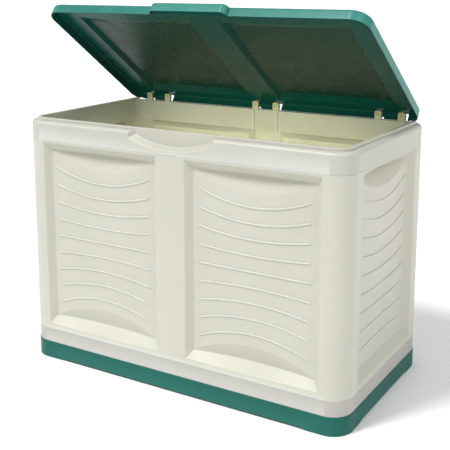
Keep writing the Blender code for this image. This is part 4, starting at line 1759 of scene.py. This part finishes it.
@dataclass(frozen=True)
class Studio:
    """A plain pale floor, soft lights and the camera."""

    camera_place: Point = (1.2535, -2.0729, 1.0934)
    yaw: float = 0.5422
    pitch: float = 0.19215
    focal: float = 69.69
    sensor: float = 36.0
    rise: float = -0.16667
    floor_half: float = 400.0
    floor_white: float = 0.97
    sky: float = 0.50
    glow_power: float = 2.0
    glow_colour: Colour = (0.98, 1.0, 0.70)
    glow_size: Flat = (0.80, 0.10)
    glow_place: Point = (0.0, -0.17, 0.62)
    glow_from: Point = (0.0, -0.90, 0.44)

    def sun(self, name: str, azimuth: float, height: float, strength: float, spread: float) -> None:
        """Adds a far, soft light.

        Args:
            name: The light's name.
            azimuth: Degrees round from the front, towards the right.
            height: Degrees above the horizon.
            strength: Its strength in watts per square metre.
            spread: The angle across the light, in degrees.
        """
        data = bpy.data.lights.new(name, "SUN")
        data.energy = strength
        data.angle = math.radians(spread)
        lamp = bpy.data.objects.new(name, data)
        turn, rise = math.radians(azimuth), math.radians(height)
        towards = Vector((math.sin(turn) * math.cos(rise), -math.cos(turn) * math.cos(rise), math.sin(rise)))
        lamp.rotation_euler = towards.to_track_quat("Z", "Y").to_euler()
        bpy.context.scene.collection.objects.link(lamp)

    def glow(self) -> None:
        """Adds a warm lamp inside the box, in place of daylight through its thin cream walls."""
        data = bpy.data.lights.new("wall_glow", "AREA")
        data.shape = "RECTANGLE"
        data.size, data.size_y = self.glow_size
        data.spread = math.radians(120.0)
        data.energy = self.glow_power
        data.color = self.glow_colour
        lamp = bpy.data.objects.new("wall_glow", data)
        lamp.location = self.glow_place
        lamp.rotation_euler = Vector(self.glow_from).to_track_quat("Z", "Y").to_euler()
        lamp.visible_camera = False
        lamp.visible_glossy = False
        bpy.context.scene.collection.objects.link(lamp)

    def build(self) -> None:
        """Builds the studio and sets the scene's camera."""
        scene = bpy.context.scene
        for obj in [o for o in scene.objects if o.name in ("Cube", "Light", "Camera")]:
            bpy.data.objects.remove(obj)
        half = self.floor_half
        floor = Shell()
        floor.face([(-half, -half, 0.0), (half, -half, 0.0), (half, half, 0.0), (-half, half, 0.0)])
        ground = floor.piece("studio_floor")
        white = bpy.data.materials.new("studio_white")
        white.use_nodes = True
        paint = white.node_tree.nodes["Principled BSDF"]
        paint.inputs["Base Color"].default_value = (self.floor_white, self.floor_white, self.floor_white, 1.0)
        paint.inputs["Roughness"].default_value = 0.9
        paint.inputs["Specular IOR Level"].default_value = 0.1
        ground.data.materials.append(white)
        world = bpy.data.worlds.new("studio_sky")
        world.use_nodes = True
        sky = world.node_tree.nodes["Background"]
        sky.inputs["Color"].default_value = (1.0, 1.0, 1.0, 1.0)
        sky.inputs["Strength"].default_value = self.sky
        scene.world = world
        self.sun("key_light", azimuth=-31.0, height=54.0, strength=2.30, spread=14.0)
        self.sun("fill_light", azimuth=62.0, height=44.0, strength=0.80, spread=30.0)
        self.glow()
        data = bpy.data.cameras.new("camera")
        data.sensor_width = self.sensor
        data.lens = self.focal
        data.shift_y = self.rise
        camera = bpy.data.objects.new("camera", data)
        camera.location = self.camera_place
        camera.rotation_euler = (math.pi / 2 - self.pitch, 0.0, self.yaw)
        scene.collection.objects.link(camera)
        scene.camera = camera
        scene.view_settings.view_transform = "Standard"


# --- assembly --------------------------------------------------------------------------------


def main() -> None:
    """Builds the studio and every sub-assembly in order."""
    sizes = Sizes.from_frame()
    Studio().build()
    ribs, fasteners = rib_tree(), fastener_tree()
    walls = Dress(WALL_RESIN.material(), "wall_resin")
    for side in Side:
        Wall(side, sizes).build(walls, ribs)
    Plinth(sizes).build(Dress(PLINTH_RESIN.material(), "base_resin"))
    LowerFrame(sizes).build(Dress(FOOT_RESIN.material(), "lower_frame_resin"))
    rim = TopFrame(sizes)
    rim.build(Dress(RIM_RESIN_WITH_PAINTED_SHADE.material(), "top_frame_resin"))
    rim.build_lugs(Dress(LUG_RESIN_WITH_PAINTED_LIGHT.material(), "top_frame_resin"))
    Lid(sizes).build(Dress(LID_RESIN_WITH_PAINTED_SHADE.material(), "lid_resin", LID))
    HingePins(sizes).build(Dress(PIN_STEEL.material(), "pin_steel"), fasteners)
    screws = Dress(SCREW_ZINC.material(), "screw_zinc")
    BaseScrews.build(sizes, screws, fasteners)
    FrameScrews.build(sizes, screws, fasteners)


if __name__ == "__main__":
    main()
